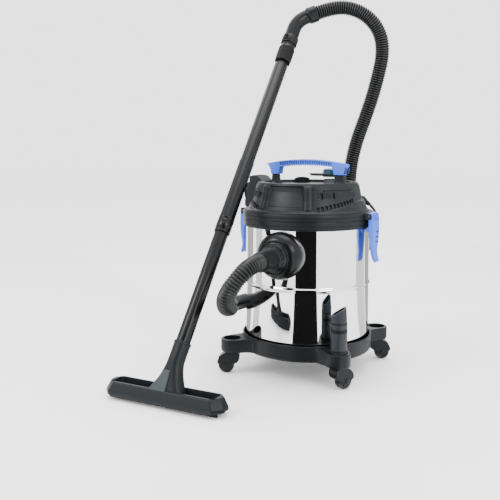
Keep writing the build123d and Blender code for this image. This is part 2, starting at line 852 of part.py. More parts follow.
def build_nodes():
    nodes = {
        "base_ring": make_base_ring(),
        "base_screws": make_base_screws(),
        "crevice_tool": make_crevice_tool(),
        "drum_shell": make_drum_shell(),
        "drum_rivets": make_drum_rivets(),
        "drum_collar": make_drum_collar(),
        "inlet_fitting": make_inlet_fitting(),
        "inlet_gasket": make_inlet_gasket(),
        "inlet_nut": make_inlet_nut(),
        "hose_cuff": make_hose_cuff(),
        "head_base": make_head_base(),
        "head_gasket": make_head_gasket(),
        "head_cover": make_head_cover(),
        "blower_port": make_blower_port(),
        "carry_handle": make_carry_handle(),
        "handle_screws": make_handle_screws(),
        "switch_housing": make_switch_housing(),
        "switch_button": make_switch_button(),
        "latch_right": make_latch(1),
        "latch_left": make_latch(-1),
        "latch_pins": make_latch_pins(),
        "motor_housing": make_motor_housing(),
        "motor_stator": make_motor_stator(),
        "motor_rotor": make_motor_rotor(),
        "impeller": make_impeller(),
        "motor_bearings": make_motor_bearings(),
        "carbon_brushes": make_carbon_brushes(),
        "motor_seal": make_motor_seal(),
        "filter_cage": make_filter_cage(),
        "float_cup": make_float(),
        "filter_sleeve": make_filter_sleeve(),
        "filter_clamp": make_filter_clamp(),
        "lower_tube": make_lower_tube(),
        "upper_tube": make_upper_tube(),
        "grip_handle": make_grip_handle(),
        "suction_slider": make_suction_slider(),
        "floor_tool": make_floor_tool(),
        "floor_strips": make_floor_strips(),
        "cord_gland": make_cord_gland(),
    }
    for name in POD_ANGLES:
        nodes["caster_fork_" + name] = placed_caster(make_fork(), name)
        nodes["caster_axle_" + name] = placed_caster(make_axle(), name)
        nodes["caster_wheel_" + name] = placed_caster(make_wheel(), name)
    return nodes


def build_cords():
    return {
        "hose": make_cord("hose", HOSE_ROUTE, HOSE_R),
        "power_cord": make_cord("power_cord", CORD_ROUTE, CORD_R),
        "cord_coil": make_cord_coil(),
        "cord_tie": make_cord_tie(),
        "plug": make_plug(),
    }


def machine_origin(nodes):
    """The centre of the bottom of the bounding box of everything that is fixed to the machine."""
    boxes = [node.bounding_box() for node in nodes.values()]
    low = Vector(*[min(getattr(box.min, axis) for box in boxes) for axis in "XYZ"])
    high = Vector(*[max(getattr(box.max, axis) for box in boxes) for axis in "XYZ"])
    return Vector((low.X + high.X) / 2, (low.Y + high.Y) / 2, low.Z)


def write_parts():
    nodes = build_nodes()
    cords = build_cords()
    origin = machine_origin(nodes)
    print("origin", round(origin.X, 3), round(origin.Y, 3), round(origin.Z, 3))
    for name, shape in {**nodes, **cords}.items():
        moved = Pos(-origin.X, -origin.Y, -origin.Z) * shape
        export_step(moved, "parts/" + name + ".step")


write_parts()
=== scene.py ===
import json
import math

import bmesh
import bpy
from mathutils import Matrix, Vector


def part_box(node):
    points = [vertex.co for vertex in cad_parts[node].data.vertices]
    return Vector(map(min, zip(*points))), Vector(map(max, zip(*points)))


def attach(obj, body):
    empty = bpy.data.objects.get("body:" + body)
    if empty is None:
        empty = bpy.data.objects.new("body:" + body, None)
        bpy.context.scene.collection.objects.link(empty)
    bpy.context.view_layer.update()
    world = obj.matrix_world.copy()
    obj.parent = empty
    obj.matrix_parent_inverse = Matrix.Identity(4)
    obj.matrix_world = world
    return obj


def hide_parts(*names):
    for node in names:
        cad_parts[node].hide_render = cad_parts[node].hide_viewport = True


# The looks of a wet and dry shop vacuum. Shapes are drawn in millimetres about the drum's axis,
# with the floor at z = 0, the inlet facing -Y and the latches at +X and -X, and are moved to the
# frame's own place and to metres when each mesh is made.

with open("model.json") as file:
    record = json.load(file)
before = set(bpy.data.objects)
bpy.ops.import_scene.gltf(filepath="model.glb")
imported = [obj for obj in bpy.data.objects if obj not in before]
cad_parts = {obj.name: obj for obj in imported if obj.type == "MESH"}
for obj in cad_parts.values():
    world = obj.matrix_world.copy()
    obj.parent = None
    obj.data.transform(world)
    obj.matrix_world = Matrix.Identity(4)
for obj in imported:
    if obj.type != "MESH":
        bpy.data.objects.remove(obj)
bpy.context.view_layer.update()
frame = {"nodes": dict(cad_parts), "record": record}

MM = 0.001
drum_low, drum_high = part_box("drum_shell")
AXIS = Vector(((drum_low.x + drum_high.x) / 2, (drum_low.y + drum_high.y) / 2, 0)) / MM
SLOT_OF = {part["node"]: part["material_slot"] for part in frame["record"]["subparts"]}
BODY_OF = {}
for body, members in frame["record"]["behaviour"]["bodies"].items():
    for member in members:
        BODY_OF[member] = body

# Sizes shared with the solids
DRUM_R = 150.0
RING_R = 158.0
RING_TOP = 89.0
POD_RADIUS = 192.0
POD_R = 27.0
POD_TOP = 84.0
SOCKET_R = 21.0
POD_ANGLES = {"front_left": -135.0, "front_right": -45.0, "rear_right": 45.0, "rear_left": 135.0}
CASTER_YAWS = {"front_left": 205.0, "front_right": 62.0, "rear_right": 25.0, "rear_left": 118.0}
WHEEL_R = 19.0
TRAIL = 14.0
INLET_Z = 295.0
FLANGE_TOP = 388.0
DECK_TOP = 450.0
RIM_TOP = 457.0
RIM_R = 114.0
BLOWER_Z = 426.0
HANDLE_WIDTH = 27.0
PIN_X = 165.0
PIN_Z = 381.0
SWITCH = Vector((44.0, 46.0))
WAND_FOOT = Vector((-148.0, -398.0, 36.0))
WAND_DIRECTION = Vector((56.4, 443.8, 715.0)).normalized()
GRIP_DIRECTION = Vector((0.79, 0.506, 0.342)).normalized()
GRIP_STRAIGHT = 950.0
GRIP_BEND = 60.0
TOOL_X = (-300.0, -6.0)
TOOL_Y = (-426.0, -370.0)
STRIP_Y = (-406.0, -377.0)
HOSE_R = 19.0
CORD_R = 3.5
COIL_CENTRE = Vector((-18.0, 252.0, 0.0))
GLAND_AZIMUTH = 38.0
GLAND_Z = 408.0

# Guide points of the free hose and lead, from where each leaves the object
HOSE_ROUTE = [
    (0, -262, 295), (0, -303, 295), (-18, -334, 266), (-43, -334, 228), (-61, -300, 199),
    (-84, -238, 183), (-128, -160, 165), (-170, -74, 149), (-190, 28, 136), (-171, 126, 138),
    (-110, 204, 150), (-42, 240, 198), (3, 238, 286), (22, 230, 398), (32, 224, 520),
    (82, 222, 650), (102, 223, 722), (114, 224, 779), (110, 221, 829), (86, 208, 871),
    (46, 190, 897), (-0.6, 169.9, 901.8), (-40.14, 144.55, 884.7),
]

CORD_ROUTE = [
    (125, 98.8, 398.5), (133.6, 106.3, 387.6), (138, 110.6, 373.4), (137, 112.6, 355),
    (131, 118, 326), (115, 132, 284), (93, 150, 234), (68, 171, 176), (47, 190.6, 114),
    (44.5, 199, 65), (42.4, 209.9, 31), (41, 223.9, 14), (39, 243.6, 4.8),
]


# ---------------- camera

CAMERA_PLACE = Vector((681.0, -1604.0, 545.0))
CAMERA_HEADING = -27.63
CAMERA_PITCH = 5.2
CAMERA_SHIFT = -0.08
LENS = 51.3


def make_camera():
    data = bpy.data.cameras.new("camera")
    data.lens = LENS
    data.sensor_width = 36
    data.shift_y = CAMERA_SHIFT
    camera = bpy.data.objects.new("camera", data)
    bpy.context.scene.collection.objects.link(camera)
    camera.location = (CAMERA_PLACE + AXIS) * MM
    camera.rotation_euler = (math.radians(90 - CAMERA_PITCH), 0, math.radians(-CAMERA_HEADING))
    bpy.context.scene.camera = camera


make_camera()


# ---------------- materials


def node_material(name):
    material = bpy.data.materials.new(name)
    material.use_nodes = True
    return material, material.node_tree.nodes["Principled BSDF"]


def noise(shader, scale, detail, roughness=0.5, stretch=None):
    """Noise fixed to the object's own space, at a scale in features a metre."""
    tree = shader.id_data
    source = tree.nodes.new("ShaderNodeTexCoord").outputs["Object"]
    if stretch:
        mapping = tree.nodes.new("ShaderNodeMapping")
        mapping.inputs["Scale"].default_value = stretch
        tree.links.new(source, mapping.inputs["Vector"])
        source = mapping.outputs["Vector"]
    texture = tree.nodes.new("ShaderNodeTexNoise")
    texture.inputs["Scale"].default_value = scale
    texture.inputs["Detail"].default_value = detail
    texture.inputs["Roughness"].default_value = roughness
    tree.links.new(source, texture.inputs["Vector"])
    return texture.outputs["Fac"]


def vary_colour(shader, pattern, colour, spread):
    """The base colour drifts by this share to both sides."""
    tree = shader.id_data
    tint = tree.nodes.new("ShaderNodeMixRGB")
    tint.inputs[1].default_value = (*[c * (1 - spread) for c in colour], 1)
    tint.inputs[2].default_value = (*[min(1, c * (1 + spread)) for c in colour], 1)
    tree.links.new(pattern, tint.inputs[0])
    tree.links.new(tint.outputs[0], shader.inputs["Base Color"])


def vary_gloss(shader, pattern, low, high):
    tree = shader.id_data
    gloss = tree.nodes.new("ShaderNodeMapRange")
    gloss.inputs["To Min"].default_value = low
    gloss.inputs["To Max"].default_value = high
    tree.links.new(pattern, gloss.inputs["Value"])
    tree.links.new(gloss.outputs["Result"], shader.inputs["Roughness"])


def add_relief(shader, pattern, strength, depth):
    tree = shader.id_data
    relief = tree.nodes.new("ShaderNodeBump")
    relief.inputs["Strength"].default_value = strength
    relief.inputs["Distance"].default_value = depth
    tree.links.new(pattern, relief.inputs["Height"])
    tree.links.new(relief.outputs["Normal"], shader.inputs["Normal"])


def moulded(name, colour, roughness, spread=0.12, grain=900.0, bump=0.12, specular=0.4):
    """Injection-moulded plastic: a fine grain, cloudy wear in the gloss and a slight colour drift."""
    material, shader = node_material(name)
    vary_colour(shader, noise(shader, 22.0, 5.0, 0.6), colour, spread)
    vary_gloss(shader, noise(shader, 70.0, 8.0, 0.7), roughness * 0.82, min(1, roughness * 1.18))
    add_relief(shader, noise(shader, grain, 3.0), bump, 0.0004)
    shader.inputs["Specular IOR Level"].default_value = specular
    return material


def polished_metal(name, colour, roughness, ripple=0.05):
    """Bare metal: faint polishing lines round the axis and a slight ripple."""
    material, shader = node_material(name)
    shader.inputs["Metallic"].default_value = 1.0
    lines = noise(shader, 60.0, 6.0, stretch=(1, 1, 40))
    vary_gloss(shader, lines, roughness * 0.7, roughness * 1.5)
    vary_colour(shader, lines, colour, 0.03)
    add_relief(shader, noise(shader, 6.0, 1.0), ripple, 0.002)
    return material


# Each plastic's linear colour, roughness and, where it isn't the usual, its other settings
PLASTICS = {
    "black_plastic": ((0.0062, 0.0076, 0.0088), 0.36, {"specular": 0.15}),
    "slate_plastic": ((0.0078, 0.0094, 0.011), 0.38, {"specular": 0.15}),
    "gloss_black_plastic": ((0.0028, 0.0032, 0.0038), 0.22, {"bump": 0.03, "specular": 0.18}),
    "grey_tool_plastic": ((0.014, 0.017, 0.021), 0.38, {"specular": 0.2}),
    "light_grey_plastic": ((0.06, 0.07, 0.075), 0.42, {"specular": 0.3}),
    "blue_plastic": ((0.042, 0.115, 0.60), 0.36, {"bump": 0.06, "specular": 0.26}),
    "teal_plastic": ((0.012, 0.085, 0.13), 0.3, {"bump": 0.03, "specular": 0.35}),
    "wheel_plastic": ((0.008, 0.008, 0.009), 0.42, {"specular": 0.3}),
    "black_rubber": ((0.006, 0.006, 0.0065), 0.65, {"bump": 0.25, "specular": 0.25}),
    "hose_plastic": ((0.0045, 0.005, 0.0055), 0.3, {"bump": 0.05, "specular": 0.34}),
    "cord_pvc": ((0.006, 0.006, 0.0065), 0.42, {"bump": 0.08, "specular": 0.3}),
    "filter_foam": ((0.06, 0.06, 0.065), 0.95, {"spread": 0.4, "grain": 500.0, "bump": 0.9}),
    # Deep blue: the handle's ribs and hooks, and the painted shade on the latch slots' floors
    "deep_blue": ((0.008, 0.02, 0.12), 0.4, {}),
    # A paler grey for the tool's gusset: painted light on the face that catches the lamps
    "gusset_painted_light": ((0.024, 0.030, 0.034), 0.36, {"specular": 0.2}),
    # Black for the crevice tool's rings of painted shade
    "painted_shade_black": ((0.004, 0.004, 0.0045), 0.5, {"specular": 0.15}),
}
METALS = {
    "polished_stainless": ((0.80, 0.805, 0.82), 0.035, {"ripple": 0.02}),
    "zinc_steel": ((0.34, 0.34, 0.35), 0.34, {}),
    "iron_core": ((0.22, 0.21, 0.21), 0.5, {}),
    "aluminium_sheet": ((0.82, 0.83, 0.84), 0.28, {}),
    "copper_carbon": ((0.55, 0.33, 0.2), 0.35, {}),
    "dark_steel": ((0.07, 0.07, 0.075), 0.4, {}),
}
LOOKS = {}
for finish, (colour, roughness, settings) in PLASTICS.items():
    LOOKS[finish] = moulded(finish, colour, roughness, **settings)
for finish, (colour, roughness, settings) in METALS.items():
    LOOKS[finish] = polished_metal(finish, colour, roughness, **settings)


# ---------------- shape tools


def smooth_shade(mesh, limit=32.0):
    """Smooth faces, with edges over the limit kept sharp."""
    shape = bmesh.new()
    shape.from_mesh(mesh)
    bmesh.ops.recalc_face_normals(shape, faces=shape.faces)
    for face in shape.faces:
        face.smooth = True
    for edge in shape.edges:
        edge.smooth = len(edge.link_faces) == 2 and edge.calc_face_angle(0) < math.radians(limit)
    shape.to_mesh(mesh)
    shape.free()


def new_piece(name, shape, limit=32.0):
    """A mesh object from (vertices, faces) in millimetres about the drum's axis."""
    verts, faces = shape
    mesh = bpy.data.meshes.new(name)
    mesh.from_pydata([(Vector(v) + AXIS) * MM for v in verts], [], faces)
    smooth_shade(mesh, limit)
    piece = bpy.data.objects.new(name, mesh)
    bpy.context.scene.collection.objects.link(piece)
    return piece


def dress(piece, node, slot=None, look=None):
    """The piece moves with this solid's body and, unless told otherwise, takes its finish."""
    slot = slot or SLOT_OF[node]
    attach(piece, BODY_OF[node])
    piece.data.materials.append(LOOKS[look or slot])


def stand_for(piece, *nodes, look=None):
    """The piece takes the place, the body and the finish of these solids."""
    dress(piece, nodes[0], look=look)
    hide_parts(*nodes)


def add_details(name, shapes, node, edge=None, segments=2, slot=None, look=None):
    """Smaller shapes of the same thing as this solid, as one piece with its edges rounded."""
    piece = new_piece(name, merged(*shapes))
    if edge:
        soften(piece, edge, segments)
    dress(piece, node, slot, look)
    return piece


def skin(rings, closed=False, caps=True):
    """Faces between neighbouring closed rings of points; closed joins the last ring to the first."""
    count = len(rings[0])
    verts = [point for ring in rings for point in ring]
    faces = []
    spans = len(rings) if closed else len(rings) - 1
    for i in range(spans):
        a = i * count
        b = ((i + 1) % len(rings)) * count
        for j in range(count):
            k = (j + 1) % count
            faces.append((a + j, a + k, b + k, b + j))
    if caps and not closed:
        faces.append(tuple(range(count - 1, -1, -1)))
        faces.append(tuple((len(rings) - 1) * count + j for j in range(count)))
    return verts, faces


def merged(*shapes):
    verts, faces = [], []
    for more_verts, more_faces in shapes:
        start = len(verts)
        verts += list(more_verts)
        faces += [tuple(start + i for i in face) for face in more_faces]
    return verts, faces


def placed(shape, matrix):
    return [matrix @ Vector(v) for v in shape[0]], shape[1]


def rounded(points, radius, steps=3, closed=True):
    """The outline with each corner turned into a short curve."""
    points = [Vector(p) for p in points]
    out = []
    for i, corner in enumerate(points):
        if not closed and i in (0, len(points) - 1):
            out.append(corner)
            continue
        before = points[i - 1] - corner
        after = points[(i + 1) % len(points)] - corner
        reach = min(radius, before.length * 0.45, after.length * 0.45)
        start = corner + before.normalized() * reach
        end = corner + after.normalized() * reach
        for step in range(steps + 1):
            t = step / steps
            out.append(start * (1 - t) ** 2 + corner * 2 * t * (1 - t) + end * t**2)
    return out


def round_angles(steps):
    return [2 * math.pi * i / steps for i in range(steps)]


def lathe(profile, steps=96, matrix=Matrix.Identity(4), closed=True):
    """The outline of (radius, height) points turned about Z; an open one is capped at its ends."""
    rings = []
    for radius, height in profile:
        ring = []
        for angle in round_angles(steps):
            ring.append(matrix @ Vector((radius * math.cos(angle), radius * math.sin(angle), height)))
        rings.append(ring)
    return skin(rings, closed=closed)


def at_height(outline, z):
    return [(p[0], p[1], z) for p in outline]


def prism(outline, low, high, plane="XZ"):
    """A flat outline drawn out along the third axis."""
    if plane == "XY":
        return skin([at_height(outline, z) for z in (low, high)])
    return skin([[(p[0], y, p[1]) for p in outline] for y in (low, high)])


def box(x0, x1, y0, y1, z0, z1):
    return prism([(x0, y0), (x1, y0), (x1, y1), (x0, y1)], z0, z1, "XY")


def span(side, near, far):
    """The lower and the upper end of a stretch on the side +1 or -1."""
    return sorted((side * near, side * far))


def rounded_rectangle(width, depth, radius, x=0.0, y=0.0, steps=6):
    w, d = width / 2, depth / 2
    return rounded([(x - w, y - d), (x + w, y - d), (x + w, y + d), (x - w, y + d)], radius * 1.6, steps)


def circle(radius, x=0.0, y=0.0, steps=48):
    turn = 2 * math.pi / steps
    return [(x + radius * math.cos(turn * i), y + radius * math.sin(turn * i)) for i in range(steps)]


def squared_off(angle, power, half_x, half_y):
    """A point of an oval whose corners stand out: power 1 is round, and less is squarer."""
    c, s = math.cos(angle), math.sin(angle)
    return math.copysign(abs(c) ** power, c) * half_x, math.copysign(abs(s) ** power, s) * half_y


def turned(degrees, axis="Z"):
    return Matrix.Rotation(math.radians(degrees), 4, axis)


def aimed(start, direction, up=(0, 0, 1)):
    """The matrix that takes Z to a direction from a point, with Y as near as can be to up."""
    z = Vector(direction).normalized()
    x = Vector(up).cross(z)
    if x.length < 1e-6:
        x = Vector((1, 0, 0))
    x.normalize()
    y = z.cross(x)
    return Matrix.Translation(start) @ Matrix((x, y, z)).transposed().to_4x4()


INLET = aimed((0, 0, INLET_Z), (0, -1, 0))
WAND = aimed(WAND_FOOT, WAND_DIRECTION)


def tube(points, radii, steps=28):
    """Rings round a line of points, turned as little as can be from one to the next."""
    tangents = []
    for i in range(len(points)):
        ahead = points[min(i + 1, len(points) - 1)]
        behind = points[max(i - 1, 0)]
        tangents.append((ahead - behind).normalized())
    side = tangents[0].cross(Vector((0, 0, 1)))
    if side.length < 0.1:
        side = tangents[0].cross(Vector((0, 1, 0)))
    rings = []
    for point, tangent, radius in zip(points, tangents, radii):
        side = (side - tangent * side.dot(tangent)).normalized()
        other = tangent.cross(side)
        ring = []
        for angle in round_angles(steps):
            ring.append(point + (side * math.cos(angle) + other * math.sin(angle)) * radius)
        rings.append(ring)
    return rings


def apply_modifiers(piece, limit=32.0):
    evaluated = piece.evaluated_get(bpy.context.evaluated_depsgraph_get())
    mesh = bpy.data.meshes.new_from_object(evaluated)
    piece.modifiers.clear()
    piece.data = mesh
    smooth_shade(mesh, limit)


def combine(piece, operation, others):
    """Joins the others' volumes to the piece, or takes them out of it, and removes them."""
    for other in others:
        modifier = piece.modifiers.new("combine", "BOOLEAN")
        modifier.operation = operation
        modifier.solver = "EXACT"
        modifier.object = other
    apply_modifiers(piece)
    for other in others:
        bpy.data.objects.remove(other)


def cut(piece, *shapes):
    combine(piece, "DIFFERENCE", [new_piece("cutter", shape) for shape in shapes])


def add_bevel(piece, width, segments, angle):
    bevel = piece.modifiers.new("round", "BEVEL")
    bevel.width = width * MM
    bevel.segments = segments
    bevel.limit_method = "ANGLE"
    bevel.angle_limit = math.radians(angle)


def soften(piece, width, segments=3, angle=35.0):
    """Rounds the edges, in millimetres, and keeps flat faces flat."""
    add_bevel(piece, width, segments, angle)
    apply_modifiers(piece, 50)
    normals = piece.modifiers.new("normals", "WEIGHTED_NORMAL")
    normals.keep_sharp = True


def ramp(value, low, high):
    """A smooth step from 0 at low to 1 at high."""
    t = min(1.0, max(0.0, (value - low) / (high - low)))
    return t * t * (3 - 2 * t)


# ---------------- free hose and mains lead


def guide_curve(points):
    curve = bpy.data.curves.new("guide", "CURVE")
    curve.dimensions = "3D"
    curve.resolution_u = 16
    spline = curve.splines.new("NURBS")
    spline.points.add(len(points) - 1)
    for target, point in zip(spline.points, points):
        target.co = (*((Vector(point) + AXIS) * MM), 1)
    spline.order_u = 3
    spline.use_endpoint_u = True
    piece = bpy.data.objects.new("guide", curve)
    bpy.context.scene.collection.objects.link(piece)
    return piece


def line_of(route, spacing):
    """Evenly spaced points, in millimetres about the drum's axis, along the route's smooth line."""
    guide = guide_curve(route)
    bpy.context.view_layer.update()
    mesh = bpy.data.meshes.new_from_object(guide.evaluated_get(bpy.context.evaluated_depsgraph_get()))
    fine = [v.co / MM - AXIS for v in mesh.vertices]
    bpy.data.objects.remove(guide)
    out = [fine[0]]
    carried = 0.0
    for a, b in zip(fine, fine[1:]):
        length = (b - a).length
        while carried + length >= spacing:
            share = (spacing - carried) / length
            a = a.lerp(b, share)
            out.append(a)
            length = (b - a).length
            carried = 0.0
        carried += length
    if (out[-1] - fine[-1]).length > spacing * 0.3:
        out.append(fine[-1])
    return out


RIB_PITCH = 6.0
RIB_STEPS = 8
RIB_DEPTH = 2.9


def make_hose():
    """Corrugated hose: round ribs along the route's smooth line."""
    points = line_of(HOSE_ROUTE, RIB_PITCH / RIB_STEPS)
    radii = []
    for i in range(len(points)):
        wave = 0.5 + 0.5 * math.cos(2 * math.pi * i / RIB_STEPS)
        radii.append(HOSE_R - RIB_DEPTH + RIB_DEPTH * wave**0.6)
    piece = new_piece("hose_corrugated", skin(tube(points, radii, 36)), 80)
    stand_for(piece, "hose")


POINTS_A_TURN = 20
COIL_START = 12.0
COIL_RADII = (55.0, 48.2, 41.4, 34.8)
COIL_LEVELS = (4.3, 11.2, 18.1, 25.0)
CLIMB_R = 55.5
CLIMB_TOP = 32.0
HOOK_R = 27.8
HOOK_X = -22.0
PLUG_Z = 39.3


def around(x, y, radius, degrees, z):
    """A point on a circle that lies level, about the coil's centre."""
    angle = math.radians(degrees)
    return COIL_CENTRE + Vector((x + radius * math.cos(angle), y + radius * math.sin(angle), z))


def coil_points():
    """Turns of the stored lead in flat layers, wound inwards and then out again, up to the plug."""
    turns = []
    for layer, level in enumerate(COIL_LEVELS):
        radii = COIL_RADII if layer % 2 == 0 else COIL_RADII[::-1]
        turns += [Vector((radius, level)) for radius in radii]
    points = []
    for i in range(1, len(turns) * POINTS_A_TURN + 1):
        turn = min(int(i / POINTS_A_TURN), len(turns) - 1)
        blend = ramp(i / POINTS_A_TURN - turn, 0.0, 0.45)
        radius, height = turns[max(turn - 1, 0)].lerp(turns[turn], blend)
        points.append(around(0, 0, radius, COIL_START + 360 * i / POINTS_A_TURN, height))
    for i in range(1, 7):
        height = COIL_LEVELS[-1] + (CLIMB_TOP - COIL_LEVELS[-1]) * ramp(i, 0, 6)
        points.append(around(0, 0, CLIMB_R, COIL_START + 12.5 * i, height))
    for i in range(9):
        height = CLIMB_TOP + (PLUG_Z - CLIMB_TOP) * ramp(i, 0, 8)
        points.append(around(HOOK_X, HOOK_R, HOOK_R, 90 + 22.5 * i, height))
    return points


def make_power_cord():
    points = line_of([Vector(point) for point in CORD_ROUTE] + coil_points(), 2.0)
    piece = new_piece("power_cord_run", skin(tube(points, [CORD_R] * len(points), 14)), 80)
    stand_for(piece, "power_cord", "cord_coil")


def make_plug():
    """A plug on its side above the coil, with two round pins along +X."""
    place = Matrix.Translation(COIL_CENTRE + Vector((0, 0, PLUG_Z)))
    outline = rounded_rectangle(34, 22, 7)
    swell = ((-20, 0.36), (-14, 0.42), (-2, 0.55), (2, 0.8), (6, 0.96), (20, 1.0), (38, 0.97), (44, 0.86))
    sections = []
    for x, scale in swell:
        sections.append([(x, p[0] * scale, p[1] * scale) for p in outline])
    body = new_piece("mains_plug", placed(skin(sections), place), 60)
    stand_for(body, "plug")
    profile = [(0.2, 0), (2.4, 0), (2.4, 18), (1.6, 20), (0.2, 20.2)]
    pins = []
    for y in (-9.5, 9.5):
        pins.append(lathe(profile, 24, place @ aimed((43, y, 0), (1, 0, 0)), closed=False))
    pin_pair = add_details("plug_pins", pins, "plug", slot="zinc_steel")
    pin_pair.parent = body
    pin_pair.matrix_world = Matrix.Identity(4)


def make_coil_band():
    """A strap closed round the coil's turns."""
    middle = COIL_CENTRE + Vector((-45, 0, 14.7))
    outer = rounded_rectangle(32.4, 29.4, 7)
    inner = rounded_rectangle(29.6, 27.4, 6)
    rings = []
    for outline, y in ((outer, -5), (outer, 5), (inner, 5), (inner, -5)):
        rings.append([middle + Vector((p[0], y, p[1])) for p in outline])
    stand_for(new_piece("coil_band", skin(rings, closed=True)), "cord_tie")


# ---------------- base and casters


def pod_centre(name):
    angle = math.radians(POD_ANGLES[name])
    return Vector((POD_RADIUS * math.cos(angle), POD_RADIUS * math.sin(angle), 0))


FLARE_START = 7.6
FLARE_END = 17.0
FLOOR_LOW, FLOOR_HIGH = 62.0, 66.0


def base_reach(angle):
    """The base's outer radius in a direction: the ring, with a flared arm out to each pocket."""
    off = min(abs((angle - pod + 180) % 360 - 180) for pod in POD_ANGLES.values())
    across = POD_RADIUS * math.sin(math.radians(min(off, FLARE_START)))
    pod = POD_RADIUS * math.cos(math.radians(min(off, FLARE_START))) + math.sqrt(POD_R**2 - across**2)
    if off <= FLARE_START:
        return pod
    t = min(1.0, (off - FLARE_START) / (FLARE_END - FLARE_START))
    return RING_R + (pod - RING_R) * (1 - t) ** 2.6


def base_section(angle):
    """The base's outline in a direction: the floor's edge, the ring's lip and the arm's flat top."""
    inner = RING_R - 3.5
    reach = base_reach(angle)
    arm = ramp(reach - RING_R, 0, 4)
    return [
        (inner, FLOOR_HIGH), (inner, RING_TOP - 0.8), (inner + 0.8, RING_TOP), (RING_R - 1.0, RING_TOP),
        (RING_R, RING_TOP - 1.0), (RING_R, POD_TOP + 1.2), (RING_R + 1.0 * arm, POD_TOP + 0.1),
        (max(RING_R, reach - 1.6), POD_TOP), (reach, POD_TOP - 1.6), (reach, POD_TOP - 4),
        (reach, 60), (reach - 0.7 * arm, 56), (reach - 2.2, 53.2), (inner + 0.6, 52), (inner, 52.6),
        (inner, FLOOR_LOW), (40, FLOOR_LOW), (40, FLOOR_HIGH),
    ]


def swept(section, steps):
    """Closed (radius, height) outlines, one for each direction in degrees, joined round the axis."""
    columns = []
    for i in range(steps):
        angle = 360 * i / steps
        c, s = math.cos(math.radians(angle)), math.sin(math.radians(angle))
        columns.append([(r * c, r * s, z) for r, z in section(angle)])
    return skin(columns, closed=True)


def make_base():
    piece = new_piece("base_moulding", swept(base_section, 720), 40)
    holes = []
    for name in POD_ANGLES:
        centre = pod_centre(name)
        holes.append(prism(circle(SOCKET_R, centre.x, centre.y, 64), 65, 90, "XY"))
        holes.append(prism(circle(4.3, centre.x, centre.y, 24), 50, 62, "XY"))
    cut(piece, *holes)
    add_bevel(piece, 0.8, 2, 60)
    stand_for(piece, "base_ring")
    ribs = []
    for angle in POD_ANGLES.values():
        for side in (-1, 1):
            rib = box(RING_R - 1, POD_RADIUS - 14, *span(side, 24, 26.4), 57, POD_TOP - 6)
            ribs.append(placed(rib, turned(angle)))
    add_details("base_ribs", ribs, "base_ring", 0.8)


def make_base_screws():
    profile = [(0.2, 62), (4, 62), (4, 60.6), (3.2, 59.9), (0.2, 59.8)]
    heads = []
    for angle in (20, 110, 200, 290):
        spot = turned(angle) @ Vector((105, 0, 0))
        heads.append(lathe(profile, 24, Matrix.Translation(spot), closed=False))
    add_details("base_screw_heads", heads, "base_screws")


def make_fork(name, place):
    """A hooded fork about its swivel axis, trailing along +X, with its metal stem."""
    outline = [
        (-15, 50.5), (13, 50.5), (25, 45.5), (TRAIL + 20, 35), (TRAIL + 22, 24), (TRAIL + 15, 20),
        (TRAIL + 7.5, 12.5), (TRAIL - 5, 11.5), (TRAIL - 15, 20), (-14, 27), (-18, 35), (-18, 44),
    ]
    inside = [(-9, -5), (60, -5), (60, 36), (TRAIL + 12, 41), (-4, 41), (-9, 36)]
    fork = new_piece("fork_" + name, placed(prism(rounded(outline, 6, 4), -13.5, 13.5), place))
    cut(fork, placed(prism(rounded(inside, 4, 3), -10.3, 10.3), place))
    soften(fork, 1.6, 3)
    stand_for(fork, "caster_fork_" + name)
    stem = [(0.2, 50), (8.5, 50), (8.5, 51.6), (7, 52.4), (4, 52.4), (4, 60.6), (3.6, 61), (0.2, 61)]
    stem_shape = lathe(stem, 32, place, closed=False)
    add_details("stem_" + name, [stem_shape], "caster_fork_" + name, slot="zinc_steel")


def make_axle(name, place):
    axle = [(0.2, -13.9), (2.6, -13.9), (3, -13.5), (3, 13.5), (2.6, 13.9), (0.2, 13.9)]
    stand_for(new_piece("axle_" + name, lathe(axle, 28, place, closed=False)), "caster_axle_" + name)
    cap = [(0.2, 13.4), (6.4, 13.4), (6.2, 14.6), (4.8, 15.4), (0.2, 15.7)]
    caps = []
    for side in (1, -1):
        caps.append(lathe([(r, side * h) for r, h in cap], 28, place, closed=False))
    add_details("axle_caps_" + name, caps, "caster_fork_" + name)


def make_wheel(name, place):
    """A grooved tread on a thin web, with a hub and five spokes."""
    half_tread = [
        (3.1, -9.8), (6, -9.8), (6.4, -8), (7, -6.8), (13, -6.8), (14.4, -8.4),
        (17, -9), (18.6, -7.6), (WHEEL_R, -5.5), (WHEEL_R, -1.6), (18.2, -1.0),
    ]
    tread = half_tread + [(r, -h) for r, h in reversed(half_tread)]
    stand_for(new_piece("wheel_" + name, lathe(tread, 64, place), 40), "caster_wheel_" + name)
    spokes = []
    for i in range(5):
        spokes.append(placed(box(6.2, 13.6, -1.1, 1.1, -8.2, 8.2), place @ turned(72 * i)))
    add_details("spokes_" + name, spokes, "caster_wheel_" + name, 0.5)


def make_casters():
    for name, yaw in CASTER_YAWS.items():
        place = Matrix.Translation(pod_centre(name)) @ turned(yaw)
        axle_place = place @ aimed((TRAIL, 0, WHEEL_R), (0, 1, 0))
        make_fork(name, place)
        make_axle(name, axle_place)
        make_wheel(name, axle_place)


